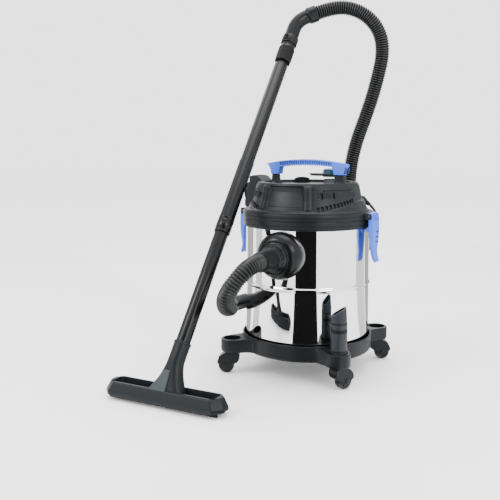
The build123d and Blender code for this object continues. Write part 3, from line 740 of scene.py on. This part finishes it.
def make_crevice_tool():
    """A round socket that squeezes to a flat nozzle with a slanted mouth; black rings paint its shade."""
    place = Matrix.Translation(pod_centre("front_right")) @ turned(28)
    barrel = [(18.5, 65.3), (18.5, 130), (17.6, 131), (17.6, 138), (18.3, 139), (18.3, 152), (17.4, 156)]
    rings = [at_height(circle(p[0]), p[1]) for p in rounded(barrel, 1.2, 2, closed=False)]
    for z, width, depth in ((160, 35, 33), (168, 34, 28), (178, 33, 25), (192, 31, 24)):
        flat = [squared_off(angle, 0.75, width / 2, depth / 2) for angle in round_angles(48)]
        rings.append(at_height(flat, z))
    piece = new_piece("crevice_tool_body", placed(skin(rings), place), 40)
    hollow = prism(circle(15.6), 60, 150, "XY")
    mouth = prism(rounded_rectangle(25, 17, 6), 140, 210, "XY")
    top = placed(box(-45, 45, -30, 30, -16, 16), Matrix.Translation((0, 0, 197)) @ turned(-32, "Y"))
    cut(piece, placed(hollow, place), placed(mouth, place), placed(top, place))
    soften(piece, 0.7, 2, 50)
    stand_for(piece, "crevice_tool")
    # Thin black rings round the barrel: painted shade where its groove and steps fall dark.
    bands = []
    for low, high, radius in ((131, 138, 18.7), (150, 153, 18.6), (88, 91, 18.9)):
        side = [(radius, low), (radius + 0.2, low + 0.6), (radius + 0.2, high - 0.6), (radius, high)]
        profile = [(17, low)] + side + [(17, high)]
        bands.append(lathe(profile, 64, Matrix.Translation(pod_centre("front_right"))))
    add_details("crevice_shade_bands", bands, "crevice_tool", look="painted_shade_black")


# ---------------- drum and inlet


def make_drum():
    """The steel wall with its rolled bead, and its floor."""
    bead = []
    for i in range(13):
        t = i / 12
        bead.append((DRUM_R + 1.5 - 1.5 * math.cos(2 * math.pi * t), 209 + 14 * t))
    inner_bead = [(r - 1.2, z) for r, z in reversed(bead)]
    profile = [(20, 66), (DRUM_R - 5, 66), (DRUM_R - 2.6, 66.6), (DRUM_R - 0.8, 68.2), (DRUM_R, 71)]
    profile += bead
    profile += [(DRUM_R, 362), (DRUM_R, 369.8), (DRUM_R - 1, 370)]
    profile += inner_bead
    profile += [(DRUM_R - 1, 72), (DRUM_R - 5, 67.2), (20, 67.2)]
    stand_for(new_piece("drum_wall", lathe(profile, 288), 50), "drum_shell")


def make_rivets():
    profile = [(0.1, -0.5), (4, -0.5), (4.1, 0.5), (3.6, 1.6), (2.4, 2.3), (0.1, 2.5)]
    domes = []
    for angle in (50, 140, 230, 320):
        out = turned(angle) @ Vector((1, 0, 0))
        domes.append(lathe(profile, 24, aimed(out * DRUM_R + Vector((0, 0, 97)), out), closed=False))
    stand_for(new_piece("rivet_heads", merged(*domes), 60), "drum_rivets")


def make_collar():
    """The black rim round the drum's mouth, with one groove."""
    profile = [
        (150.2, 352.4), (154.6, 352), (155.7, 352.5), (156, 353.6), (156, 359.6), (155.3, 360.4),
        (155.3, 361.4), (156, 362.2), (156, 370.8), (155.4, 372), (144, 372), (144, 370.2),
        (152.4, 370.2), (152.4, 366), (150.2, 366),
    ]
    stand_for(new_piece("drum_rim", lathe(profile, 200), 40), "drum_collar")


def make_inlet():
    """The stepped dome on the drum's front; distances run out from the drum's axis."""
    profile = [
        (22.05, 126), (30, 126), (30, 138), (54.4, 138), (55, 139), (55, 158), (54, 164), (51.6, 170.5),
        (48, 176), (43.4, 180.8), (38.6, 184.2), (37.4, 184.4), (36.6, 183.4), (35.6, 183.4),
        (34.8, 184.6), (34.6, 187.6), (33.6, 188.8), (31.4, 189.6), (30.6, 191), (30.2, 195),
        (29.4, 196.2), (28.6, 196.6), (28.2, 198), (28, 203.6), (27, 205), (22.05, 205),
    ]
    stand_for(new_piece("inlet_dome", lathe(profile, 128, INLET), 36), "inlet_fitting")
    ribs = []
    for i in range(16):
        ribs.append(placed(box(27.6, 29.4, -1.1, 1.1, 197.2, 203.4), INLET @ turned(22.5 * i)))
    add_details("inlet_grips", ribs, "inlet_fitting", 0.5)


def make_cuff():
    """The hose's end: a smooth spigot in the inlet, a shoulder and a ribbed sleeve."""
    profile = [(16.5, 165), (21.98, 165), (21.98, 205.4)]
    profile += [(26, 205.5), (26.6, 206.4), (26.4, 209), (24.8, 211)]
    for i in range(8):
        start = 212.5 + 6 * i
        valley = 20.6 - 0.02 * (start - 212)
        crest = valley + 2.6
        profile += [(valley, start), (crest, start + 1.5), (crest, start + 3.0), (valley, start + 4.5)]
    profile += [(20.6, 260.6), (19.6, 261.5), (16.5, 261.6)]
    stand_for(new_piece("hose_cuff_ribbed", lathe(profile, 72, INLET), 50), "hose_cuff")


# ---------------- head


def make_flange():
    """The head's foot: a grooved rim over the drum's, a plug in its mouth and the latches' ears."""
    profile = [
        (139, 358), (142.5, 358), (142.5, 374), (153, 374), (153, 372.5), (156.2, 372.5), (157, 373.4),
        (157, 379), (156.2, 379.8), (156.2, 380.8), (157, 381.6), (157, 386.6), (156, FLANGE_TOP),
        (66, FLANGE_TOP), (66, 342), (25, 342), (25, 339), (69, 339), (69, 381), (139, 381),
    ]
    stand_for(new_piece("head_flange", lathe(profile, 200), 40), "head_base")
    ears = []
    for side in (1, -1):
        low, high = span(side, 154, 171)
        outline = rounded([(low, 373), (high, 373), (high, 386), (low, 389)], 4, 4)
        for y in (24.4, -28.0):
            ears.append(prism(outline, y, y + 3.6))
    add_details("latch_ears", ears, "head_base", 0.8)


# Places round the head are angles from the front, in degrees, towards the right latch
PANEL_ENDS = (-21.0, 18.0)
COLUMNS = (-27.0, 23.5)
COLUMN_HALF = 9.5
MM_PER_DEGREE = 2.35
SLOT_START, SLOT_STEP, SLOT_COUNT = 33.0, 4.2, 11
OPENINGS = (38.0, 51.0)


def window(value, low, high, edge):
    """1 between low and high and 0 outside, with smooth edges."""
    return ramp(value, low - edge, low + edge) * (1 - ramp(value, high - edge, high + edge))


def wall_radius(side, z):
    """The cover's plain wall: a cone, thicker under a ledge that climbs towards the latches."""
    cone = 130 + 0.40 * (422 - z)
    ledge = 393 + 22 * ramp(side, 30, 84)
    skirt = cone + 3.4 * (1 - ramp(z, ledge - 1.2, ledge + 1.2))
    foot = 149 - (z - FLANGE_TOP) * 0.2
    return max(skirt, foot - 11.5 * ramp(z, 390, 401)) - 3.2 * ramp(z, 447, 458)


def column_height(phi, z):
    """The half-round columns on both sides of the front panel."""
    height = 0.0
    for column in COLUMNS:
        off = (phi - column) * MM_PER_DEGREE
        if abs(off) < COLUMN_HALF:
            bulge = math.sqrt(1 - (off / COLUMN_HALF) ** 2)
            height += 4.6 * bulge * ramp(z, 393, 400) * (1 - 0.75 * ramp(z, 446, 456))
    return height


def slot_depth(side, z):
    """Climbing cooling slots, a fine grille with two openings, and a row of short slots over it."""
    depth = 0.0
    for index in range(SLOT_COUNT):
        centre = SLOT_START + SLOT_STEP * index
        rise = 1.7 * index
        across = window(side, centre - 1.15, centre + 1.15, 0.3)
        depth += 8 * across * window(z, 395.5 + rise, 403.5 + rise, 0.8)
    if 31 < side < 80 and 420 < z < 444:
        depth += 0.9 * (0.5 + 0.5 * math.cos(2 * math.pi * side / 1.9)) * window(z, 423, 437, 1.5)
    for centre in OPENINGS:
        depth += 6 * window(side, centre - 0.55, centre + 0.55, 0.3) * window(z, 423, 436, 1.0)
    for index in range(13):
        centre = 40 + 3.0 * index
        depth += 3.5 * window(side, centre - 0.5, centre + 0.5, 0.3) * window(z, 440.3, 442.3, 0.5)
    return depth


def rear_depth(side, z):
    """Wide shallow flutes round the back."""
    depth = 0.0
    for index in range(7):
        centre = 112 + 10 * index
        depth += 1.6 * window(side, centre - 3.4, centre + 3.4, 0.6) * window(z, 404, 446, 1.2)
    return depth


def head_radius(phi, z):
    """The head's outer radius at an angle and a height."""
    side = abs(phi)
    radius = wall_radius(side, z) + column_height(phi, z)
    radius -= 6.5 * window(phi, *PANEL_ENDS, 0.7) * window(z, 404.5, 451, 1.0)
    if side > 28:
        radius -= slot_depth(side, z)
    if side > 100:
        radius -= rear_depth(side, z)
    return radius


def head_section(angle):
    """The cover's outline in a direction: up its wall, over the rim, across the deck and back inside."""
    phi = (angle + 90 + 180) % 360 - 180
    rows = int((RIM_TOP - 2 - FLANGE_TOP) / 0.75) + 1
    heights = [FLANGE_TOP + 0.75 * i for i in range(rows)]
    wall = [(head_radius(phi, z), z) for z in heights]
    top = wall[-1][0]
    return wall + [
        (top - 0.9, RIM_TOP - 0.6), (top - 2.4, RIM_TOP), (RIM_R - 5, RIM_TOP), (RIM_R - 6, RIM_TOP - 0.8),
        (RIM_R - 7.2, DECK_TOP + 1.4), (RIM_R - 9, DECK_TOP), (100, DECK_TOP), (99.4, DECK_TOP - 0.8),
        (98.0, DECK_TOP - 0.8), (97.4, DECK_TOP), (10, DECK_TOP), (10, DECK_TOP - 3),
        (117, 449), (136, 397), (144, 391), (144, FLANGE_TOP),
    ]


def make_head_cover():
    stand_for(new_piece("head_shell", swept(head_section, 1080), 34), "head_cover")
    boss = lathe([(0.2, 449), (12, 449), (12, 450.6), (11, 451.4), (0.2, 451.4)], 48, closed=False)
    add_details("deck_boss", [boss], "head_cover")


def make_blower_housing():
    """The raised housing on the left with its stepped back and round outlet."""
    outline = [
        (-104, 390), (-150, 390), (-156, 392), (-158, 396), (-158, 409), (-156.5, 412), (-152.5, 414),
        (-150.4, 437), (-149, 440), (-146.4, 442), (-144, 468), (-142, 469), (-123, 469), (-112, 459),
        (-104, 450),
    ]
    piece = new_piece("blower_housing", prism(rounded(outline, 1.2, 2), -29, 29))
    mouth = [(0.1, -120), (25, -120), (25, -170), (0.1, -170)]
    cut(piece, lathe(mouth, 64, aimed((0, 0, BLOWER_Z), (1, 0, 0)), closed=False))
    soften(piece, 1.8, 3)
    dress(piece, "head_cover")
    ridge = rounded([(-146, 466), (-143, 470.4), (-124, 470.4), (-118, 464)], 1.5, 2)
    ridges = [prism(ridge, y - 1.2, y + 1.2) for y in (-18, -6, 6, 18)]
    add_details("blower_ridges", ridges, "head_cover", 0.5)
    sleeve = [
        (22.05, 0), (24.9, 0), (24.9, 31.8), (26.4, 32.2), (26.5, 34.2), (25.6, 35), (23, 35),
        (22.05, 34.2),
    ]
    start = aimed((-126, 0, BLOWER_Z), (-1, 0, 0))
    stand_for(new_piece("blower_sleeve", lathe(sleeve, 72, start)), "blower_port")


def make_handle_posts():
    posts = []
    for x, width in ((-85, 16), (85, 22)):
        sections = []
        for z, grow in ((449, 6), (453, 2.5), (460, 0.8), (474, 0)):
            outline = rounded_rectangle(width + 2 * grow, 22 + 2 * grow, 4, x, 0, 5)
            sections.append(at_height(outline, z))
        posts.append(skin(sections))
    add_details("handle_posts", posts, "head_cover", 0.8)


def make_rear_cleat():
    """A low hump on the deck's back, across the way out."""
    outline = rounded([(-22, 450), (-20, 461), (-10, 464), (8, 464), (18, 460), (22, 450)], 3, 3)
    place = turned(122) @ Matrix.Translation((101, 0, 0)) @ turned(90)
    add_details("rear_cleat", [placed(prism(outline, -6, 6), place)], "head_cover", 1.2)


def arc(a, b, c, steps):
    """Points on the circle through three (x, z) points."""
    (ax, az), (bx, bz), (cx, cz) = a, b, c
    a2, b2, c2 = ax**2 + az**2, bx**2 + bz**2, cx**2 + cz**2
    d = 2 * (ax * (bz - cz) + bx * (cz - az) + cx * (az - bz))
    middle_x = (a2 * (bz - cz) + b2 * (cz - az) + c2 * (az - bz)) / d
    middle_z = (a2 * (cx - bx) + b2 * (ax - cx) + c2 * (bx - ax)) / d
    radius = math.hypot(ax - middle_x, az - middle_z)
    start = math.atan2(az - middle_z, ax - middle_x)
    end = math.atan2(cz - middle_z, cx - middle_x)
    points = []
    for i in range(steps + 1):
        angle = start + (end - start) * i / steps
        points.append((middle_x + radius * math.cos(angle), middle_z + radius * math.sin(angle)))
    return points


def make_handle():
    """The arched grip with ribbed inlays on both faces and two hooks at its right end."""
    outline = arc((-104, 500.5), (0, 511), (100, 500), 28)
    outline += [(103, 497), (101, 492), (96.5, 474.2), (72, 474.2), (70, 486), (67, 492.5)]
    outline += arc((64, 493.4), (0, 496.5), (-66, 492.2), 22)
    outline += [(-70.5, 490), (-73, 474.2), (-93, 474.2), (-94, 482), (-97, 491)]
    piece = new_piece("handle_grip", prism(outline, -HANDLE_WIDTH / 2, HANDLE_WIDTH / 2))
    inlay = arc((-70, 503.2), (0, 507.4), (66, 503), 20)
    inlay += arc((66, 496.4), (0, 499.6), (-70, 495.6), 20)
    cut(piece, *[prism(inlay, *span(side, 11.9, 20)) for side in (-1, 1)])
    soften(piece, 1.7, 3)
    stand_for(piece, "carry_handle")
    bars = []
    for index in range(23):
        x = -67 + 6 * index
        z = 501.3 + 4.0 * (1 - (x / 70) ** 2) - 1.6
        for side in (-1, 1):
            bars.append(box(x - 1.3, x + 1.3, *span(side, 11.7, 13.2), z - 3.1, z + 3.1))
    add_details("handle_ribs", bars, "carry_handle", 0.4, look="deep_blue")
    hook = rounded([(97, 476), (101.5, 478), (104, 486), (103, 492), (99, 491), (96, 484)], 2, 3)
    hooks = [prism(hook, y - 3, y + 3) for y in (-9, 9)]
    add_details("handle_hooks", hooks, "carry_handle", 0.6, look="deep_blue")


def make_switch():
    """A waisted turret under an oval plate, and the domed cap in its well."""
    sections = []
    for z, width, depth in ((450, 46, 38), (453, 43, 35), (468, 42, 34), (470.4, 44, 36)):
        sections.append(at_height(rounded_rectangle(width, depth, 12, 48, SWITCH.y, 8), z))
    piece = new_piece("switch_turret", skin(sections), 40)
    rings = []
    for z, grow in ((469.6, -7), (470.2, -4), (473, -0.8), (474.6, 0), (475.6, -0.5), (476, -2)):
        ring = []
        for angle in round_angles(96):
            ring.append((30 + (44 + grow) * math.cos(angle), SWITCH.y + (29 + grow) * math.sin(angle), z))
        rings.append(ring)
    combine(piece, "UNION", [new_piece("plate", skin(rings))])
    cut(piece, prism(circle(21.5, SWITCH.x, SWITCH.y, 64), 462.6, 480, "XY"))
    stand_for(piece, "switch_housing")
    profile = [
        (0.1, 467.2), (21, 467.2), (21, 482), (20.6, 484), (19.2, 486), (17, 487), (13, 487.6), (7, 487.9),
        (0.1, 488),
    ]
    place = Matrix.Translation((SWITCH.x, SWITCH.y, 0))
    stand_for(new_piece("switch_cap", lathe(profile, 96, place, closed=False), 50), "switch_button")


def make_gland():
    """The boss on the head's wall and the ribbed sleeve that tapers round the lead."""
    out = turned(GLAND_AZIMUTH) @ Vector((1, 0, 0))
    height = Vector((0, 0, GLAND_Z))
    boss = [(6, 0), (14, 0), (13, 9), (12, 16), (11, 18.2), (9.4, 19), (6, 19)]
    add_details("cord_boss", [lathe(boss, 48, aimed(out * 128 + height, out))], "head_cover")
    start = out * 145 + height
    lead = Vector(CORD_ROUTE[0]) - start
    profile = [(3.6, -2), (8.2, -2), (8.4, 1.8), (7.4, 3)]
    ribs = 4
    pitch = (lead.length - 3.6) / ribs
    for i in range(ribs):
        low = 3.6 + pitch * i
        high = 3.6 + pitch * (i + 0.6)
        r = 6.8 - 2.4 * i / ribs
        profile += [(r - 0.8, low), (r, low + 0.4), (r, high - 0.2), (r - 0.9, high + 0.2)]
    profile += [(3.9, lead.length), (3.6, lead.length)]
    stand_for(new_piece("strain_relief", lathe(profile, 40, aimed(start, lead)), 50), "cord_gland")


# ---------------- latches


def make_latch(side, name):
    """A long over-centre tab on its pin: ribbed top, three slots, narrow tongue and a hook inside."""
    node = "latch_" + name
    rows = (
        (388.0, 161.5, 169.0, 21.6), (386.5, 160.0, 171.0, 22.3), (383, 159.0, 172.6, 22.5),
        (377, 160.6, 174.0, 22.5), (366, 162.0, 175.4, 22.5), (350, 162.2, 175.8, 22.5),
        (336, 163.2, 175.4, 22.2), (322, 164.0, 174.4, 21.4), (312, 164.6, 173.8, 20.4),
        (305, 165.0, 173.4, 18.4), (299, 165.4, 173.2, 16.6), (288, 167.4, 174.6, 16.2),
        (280, 170.0, 176.8, 15.8), (274.5, 172.6, 178.4, 14.6), (272.6, 174.2, 178.2, 12.6),
    )
    rings = []
    for z, inner, outer, half in rows:
        ring = rounded([(inner, -half), (outer, -half), (outer, half), (inner, half)], 3.2, 5)
        rings.append([(side * p[0], side * p[1], z) for p in ring])
    piece = new_piece(node + "_tab", skin(rings), 45)
    slot_heights = (343, 331, 319)
    cutters = [box(*span(side, 172, 180), *span(side, -1, 17), z - 2.2, z + 2.2) for z in slot_heights]
    cutters.append(box(*span(side, 155, 168.5), -19, 19, 352.5, 374))
    cutters.append(prism(circle(2.62, side * PIN_X, PIN_Z, 32), -40, 40))
    cut(piece, *cutters)
    soften(piece, 0.8, 2, 50)
    stand_for(piece, node)
    rib = [(170.5, 386.5), (173.6, 384.5), (175.2, 379), (176.2, 368), (174, 368), (170, 380)]
    rib = [(side * x, z) for x, z in rounded(rib, 1, 2)]
    ribs = [prism(rib, 7 * i - 18.8, 7 * i - 16.2) for i in range(6)]
    add_details(node + "_ribs", ribs, node, 0.6)
    hook = [(162.4, 353), (152.9, 350.4), (153.4, 346.6), (160, 342), (164.4, 338), (166, 350)]
    hook = [(side * x, z) for x, z in rounded(hook, 1, 2)]
    add_details(node + "_hook", [prism(hook, -15, 15)], node, 0.5)
    # Dark blue plates on the three slots' floors: painted shade inside the slots.
    slots = [box(*span(side, 171.6, 172.6), *span(side, -0.6, 16.6), z - 2, z + 2) for z in slot_heights]
    add_details(node + "_slot_shade", slots, node, look="deep_blue")


def make_latch_pins():
    profile = [(0.1, -28.5), (2.1, -28.5), (2.5, -28.1), (2.5, 28.1), (2.1, 28.5), (0.1, 28.5)]
    pins = []
    for side in (1, -1):
        pins.append(lathe(profile, 28, aimed((side * PIN_X, 0, PIN_Z), (0, 1, 0)), closed=False))
    stand_for(new_piece("latch_pin_pair", merged(*pins)), "latch_pins", look="dark_steel")


# ---------------- wand and floor tool


def make_wand():
    """Two tubes that slide into each other, the upper one with a grooved collar."""
    lower = [(14.4, 62), (16, 62), (16, 474), (15.4, 475), (14.4, 475)]
    stand_for(new_piece("wand_lower", lathe(lower, 72, WAND)), "lower_tube")
    upper = [
        (16.05, 365), (17.8, 365), (18.6, 366), (18.6, 369), (18.1, 369.6), (18.1, 371), (18.6, 371.6),
        (18.6, 396), (18.1, 396.6), (18.1, 398), (18.6, 398.6), (18.6, 402.6), (17.9, 404),
        (17.8, 552.6), (16.8, 554.4), (16.8, 884), (16, 885), (15, 885), (15, 478), (16.05, 476),
    ]
    stand_for(new_piece("wand_upper", lathe(upper, 72, WAND), 40), "upper_tube")


GRIP_START = 845
GRIP_END = 24


def grip_points():
    """The middle line of the bent grip: along the wand, round the bend and out to the hose."""
    turn = WAND_DIRECTION.angle(GRIP_DIRECTION)
    tangent = GRIP_BEND * math.tan(turn / 2)
    corner = WAND_FOOT + WAND_DIRECTION * (GRIP_STRAIGHT + tangent)
    start = WAND_FOOT + WAND_DIRECTION * GRIP_START
    points = [start + WAND_DIRECTION * step for step in range(0, 106, 3)]
    into = corner - WAND_DIRECTION * tangent
    out = corner + GRIP_DIRECTION * tangent
    for i in range(1, 18):
        t = i / 18
        points.append(into * (1 - t) ** 2 + corner * 2 * t * (1 - t) + out * t**2)
    points += [out + GRIP_DIRECTION * step for step in range(0, GRIP_END + 1, 2)]
    return points


def make_grip():
    """The bent grip with rings at its foot, and the suction slider round it."""
    points = grip_points()
    along = [(point - WAND_FOOT).dot(WAND_DIRECTION) for point in points]
    outer_radii = []
    for point, distance in zip(points, along):
        foot = 2.0 * (1 - ramp(distance, 887, 891))
        flare = 3.5 * (1 - ramp((points[-1] - point).length, 22, 25))
        outer_radii.append(18.0 + foot + flare)
    inner_radii = [16.9 if distance < 885 else 15.0 for distance in along]
    outer = tube(points, outer_radii, 48)
    inner = tube(points, inner_radii, 48)
    piece = new_piece("bent_grip", skin(outer + inner[::-1], closed=True), 40)
    soften(piece, 0.7, 2, 50)
    stand_for(piece, "grip_handle")
    rings = []
    for i in range(7):
        low = 852 + 5 * i
        profile = [(19.6, low), (20.6, low + 0.6), (20.6, low + 2), (19.6, low + 2.6)]
        rings.append(lathe(profile, 64, WAND))
    add_details("grip_rings", rings, "grip_handle")
    slider = [(18.3, 900), (20, 900), (20.6, 901), (20.6, 921), (20, 922), (18.3, 922)]
    stand_for(new_piece("slider_ring", lathe(slider, 64, WAND), 40), "suction_slider")
    ribs = []
    for i in range(4):
        place = WAND @ Matrix.Translation((0, 19.6, 904 + 4.4 * i)) @ turned(-90, "X")
        ribs.append(placed(prism(rounded_rectangle(10, 2.2, 1), 0, 4.2, "XY"), place))
    add_details("slider_ribs", ribs, "suction_slider", 0.5)


# Heights of the tray's outline, and how far its front, ends and back step in there
TRAY_ROWS = (
    (8, 4, 9, 3), (10, 0.8, 3, 0.6), (12, 0, 0, 0), (18, 0, 0, 0),
    (20, 1, 0.8, 0.4), (35.5, 7.5, 8, 2), (38, 10.5, 11, 4),
)
NECK_HALF = 30
STRIP_ENDS = (TOOL_X[0] + 10, TOOL_X[1] - 14)


def cut_corners(x0, x1, y0, y1):
    """A rectangle's outline with its four corners cut off and slightly rounded."""
    front, back = 19, 13
    outline = [
        (x0, y0 + front), (x0 + front, y0), (x1 - front, y0), (x1, y0 + front),
        (x1, y1 - back), (x1 - back, y1), (x0 + back, y1), (x0, y1 - back),
    ]
    return rounded(outline, 3, 3)


def make_floor_tool():
    """The tray with a pocket on each side of its neck, and a slot and two grooves under it."""
    x0, x1 = TOOL_X
    y0, y1 = TOOL_Y
    rings = []
    for z, front, ends, back in TRAY_ROWS:
        rings.append(at_height(cut_corners(x0 + ends, x1 - ends, y0 + front, y1 - back), z))
    piece = new_piece("tool_tray", skin(rings), 30)
    cutters = []
    y_low, y_high = y0 + 15.5, y1 - 8
    for x_low, x_high in ((x0 + 21, WAND_FOOT.x - NECK_HALF), (WAND_FOOT.x + NECK_HALF, x1 - 21)):
        sections = []
        for z, shrink in ((23, 2.5), (26, 1), (39, -1.0)):
            width = x_high - x_low - 2 * shrink
            depth = y_high - y_low - 2 * shrink
            outline = rounded_rectangle(width, depth, 4, (x_low + x_high) / 2, (y_low + y_high) / 2, 5)
            sections.append(at_height(outline, z))
        cutters.append(skin(sections))
    cutters.append(box(x0 + 8, x1 - 8, STRIP_Y[0] + 5, STRIP_Y[1] - 5, 0, 17))
    for y in STRIP_Y:
        cutters.append(box(*STRIP_ENDS, y - 2, y + 2, 0, 13))
    cut(piece, *cutters)
    soften(piece, 1.0, 3, 40)
    stand_for(piece, "floor_tool")


def make_tool_neck():
    """The moulded neck: a wide foot that sweeps up into the wand's socket."""
    foot = Vector((WAND_FOOT.x, (TOOL_Y[0] + TOOL_Y[1]) / 2, 25))
    throat = WAND_FOOT + WAND_DIRECTION * 62
    across = Vector((0, 1, 0)).cross(WAND_DIRECTION).normalized()
    up = WAND_DIRECTION.cross(across)
    rings = []
    levels = 18
    for i in range(levels + 1):
        t = i / levels
        centre = foot.lerp(throat, t**0.8)
        half_x = 41 + (18.4 - 41) * (1 - (1 - t) ** 1.9)
        half_y = 22 + (18.4 - 22) * t
        ring = []
        for angle in round_angles(64):
            x, y = squared_off(angle, 0.55 + 0.45 * t, half_x, half_y)
            flat = centre + Vector((x, y, 0))
            ring.append(flat.lerp(centre + across * x + up * y, t))
        rings.append(ring)
    for distance, radius in ((64, 18.4), (70, 18.2), (97, 18.2), (98, 19.2), (102, 19.2), (103, 18.6)):
        centre = WAND_FOOT + WAND_DIRECTION * distance
        rings.append([centre + across * x + up * y for x, y in circle(radius, steps=64)])
    piece = new_piece("tool_neck", skin(rings), 40)
    cut(piece, lathe([(0.1, 63), (16.1, 63), (16.1, 110), (0.1, 110)], 64, WAND, closed=False))
    dress(piece, "floor_tool")


def make_tool_gusset():
    """The wedge on the neck's front, in a paler grey as painted light on its face."""
    x, y = WAND_FOOT.x, TOOL_Y[0]
    front = [(x - 34, y + 7.5, 37), (x + 8, y + 7.5, 37), (x + 7, y + 31, 76), (x - 7, y + 31, 76)]
    back = [(a + 1, b + 22, c - 4) for a, b, c in front]
    add_details("tool_gusset", [skin([front, back])], "floor_tool", 1.2, 3, look="gusset_painted_light")


def make_strips():
    """Two strips whose lower edge is notched all along."""
    x0, x1 = STRIP_ENDS
    pitch = 7.75
    outline = [(x0, 13), (x1, 13), (x1, 0)]
    x = x1 - pitch / 2
    while x - pitch / 2 > x0 + 2:
        outline += [(x + 1.2, 0), (x + 0.9, 3.0), (x - 0.9, 3.0), (x - 1.2, 0)]
        x -= pitch
    outline.append((x0, 0))
    strips = [prism(outline, y - 2, y + 2) for y in STRIP_Y]
    stand_for(new_piece("tool_strips", merged(*strips)), "floor_strips")


# ---------------- everything else


def dress_remaining():
    """The solids that stay as they are get their slot's material."""
    for name, node in frame["nodes"].items():
        if node.hide_render:
            continue
        node.data.materials.clear()
        node.data.materials.append(LOOKS[SLOT_OF[name]])
        for face in node.data.polygons:
            face.material_index = 0


make_plug()
make_coil_band()
make_hose()
make_power_cord()
make_base()
make_base_screws()
make_casters()
make_crevice_tool()
make_drum()
make_rivets()
make_collar()
make_inlet()
make_cuff()
make_flange()
make_head_cover()
make_blower_housing()
make_handle_posts()
make_rear_cleat()
make_handle()
make_switch()
make_gland()
make_latch(1, "right")
make_latch(-1, "left")
make_latch_pins()
make_wand()
make_grip()
make_floor_tool()
make_tool_neck()
make_tool_gusset()
make_strips()
dress_remaining()


# ---------------- stage and light

FLOOR_HALF = 12.0


def make_stage_piece(name, verts, faces, height, grey, roughness):
    """A flat thing in metres that belongs to the studio, painted one even grey."""
    mesh = bpy.data.meshes.new(name)
    mesh.from_pydata(verts, [], faces)
    piece = bpy.data.objects.new(name, mesh)
    piece.location.z = height
    material, shader = node_material(name + "_paint")
    shader.inputs["Base Color"].default_value = (grey, grey, grey, 1)
    shader.inputs["Roughness"].default_value = roughness
    mesh.materials.append(material)
    bpy.context.scene.collection.objects.link(piece)
    return piece, shader


def make_floor():
    h = FLOOR_HALF
    corners = [(-h, -h, 0), (h, -h, 0), (h, h, 0), (-h, h, 0)]
    make_stage_piece("floor", corners, [(0, 1, 2, 3)], -0.0006, 0.97, 0.75)


def make_card(name, bearing, half_angle, near, far, shade):
    """A sweep that only mirrors see: a fan on the floor that turns up into an upright sheet."""
    corners = []
    for angle in (bearing - half_angle, bearing + half_angle):
        side = turned(angle) @ Vector((0, -1, 0))
        for corner in (side * near, side * far, side * far + Vector((0, 0, far))):
            corners.append(AXIS * MM + corner)
    card, shader = make_stage_piece(name, corners, [(0, 1, 4, 3), (1, 2, 5, 4)], 0.0004, shade, 1.0)
    shader.inputs["Specular IOR Level"].default_value = 0.0
    card.visible_camera = False
    card.visible_diffuse = False
    card.visible_shadow = False
    card.visible_transmission = False


def make_lights():
    world = bpy.data.worlds.new("studio")
    bpy.context.scene.world = world
    world.use_nodes = True
    background = world.node_tree.nodes["Background"]
    background.inputs["Color"].default_value = (1, 1, 1, 1)
    background.inputs["Strength"].default_value = 2.7
    for name, place, power, size in (
        ("key", (-1.6, -1.8, 2.6), 60, 1.2),
        ("fill", (2.4, -1.2, 1.8), 34, 1.2),
        ("top", (0.2, 0.4, 3.2), 45, 1.8),
    ):
        data = bpy.data.lights.new(name, "AREA")
        data.energy = power
        data.size = size
        light = bpy.data.objects.new(name, data)
        light.location = place
        aim = Vector((0.06, 0.12, 0.3)) - Vector(place)
        light.rotation_euler = aim.to_track_quat("-Z", "Y").to_euler()
        bpy.context.scene.collection.objects.link(light)


make_floor()
make_card("dark_card", 21.0, 18.6, 0.162, 3.0, 0.004)
make_card("right_card", 135.0, 14.0, 0.25, 2.4, 0.42)
make_card("right_edge_card", 167.0, 15.0, 0.25, 2.4, 0.20)
make_card("left_card", -74.0, 9.0, 0.25, 2.4, 0.40)
make_card("left_edge_card", -108.0, 15.0, 0.25, 2.4, 0.22)
make_lights()

bpy.context.view_layer.update()
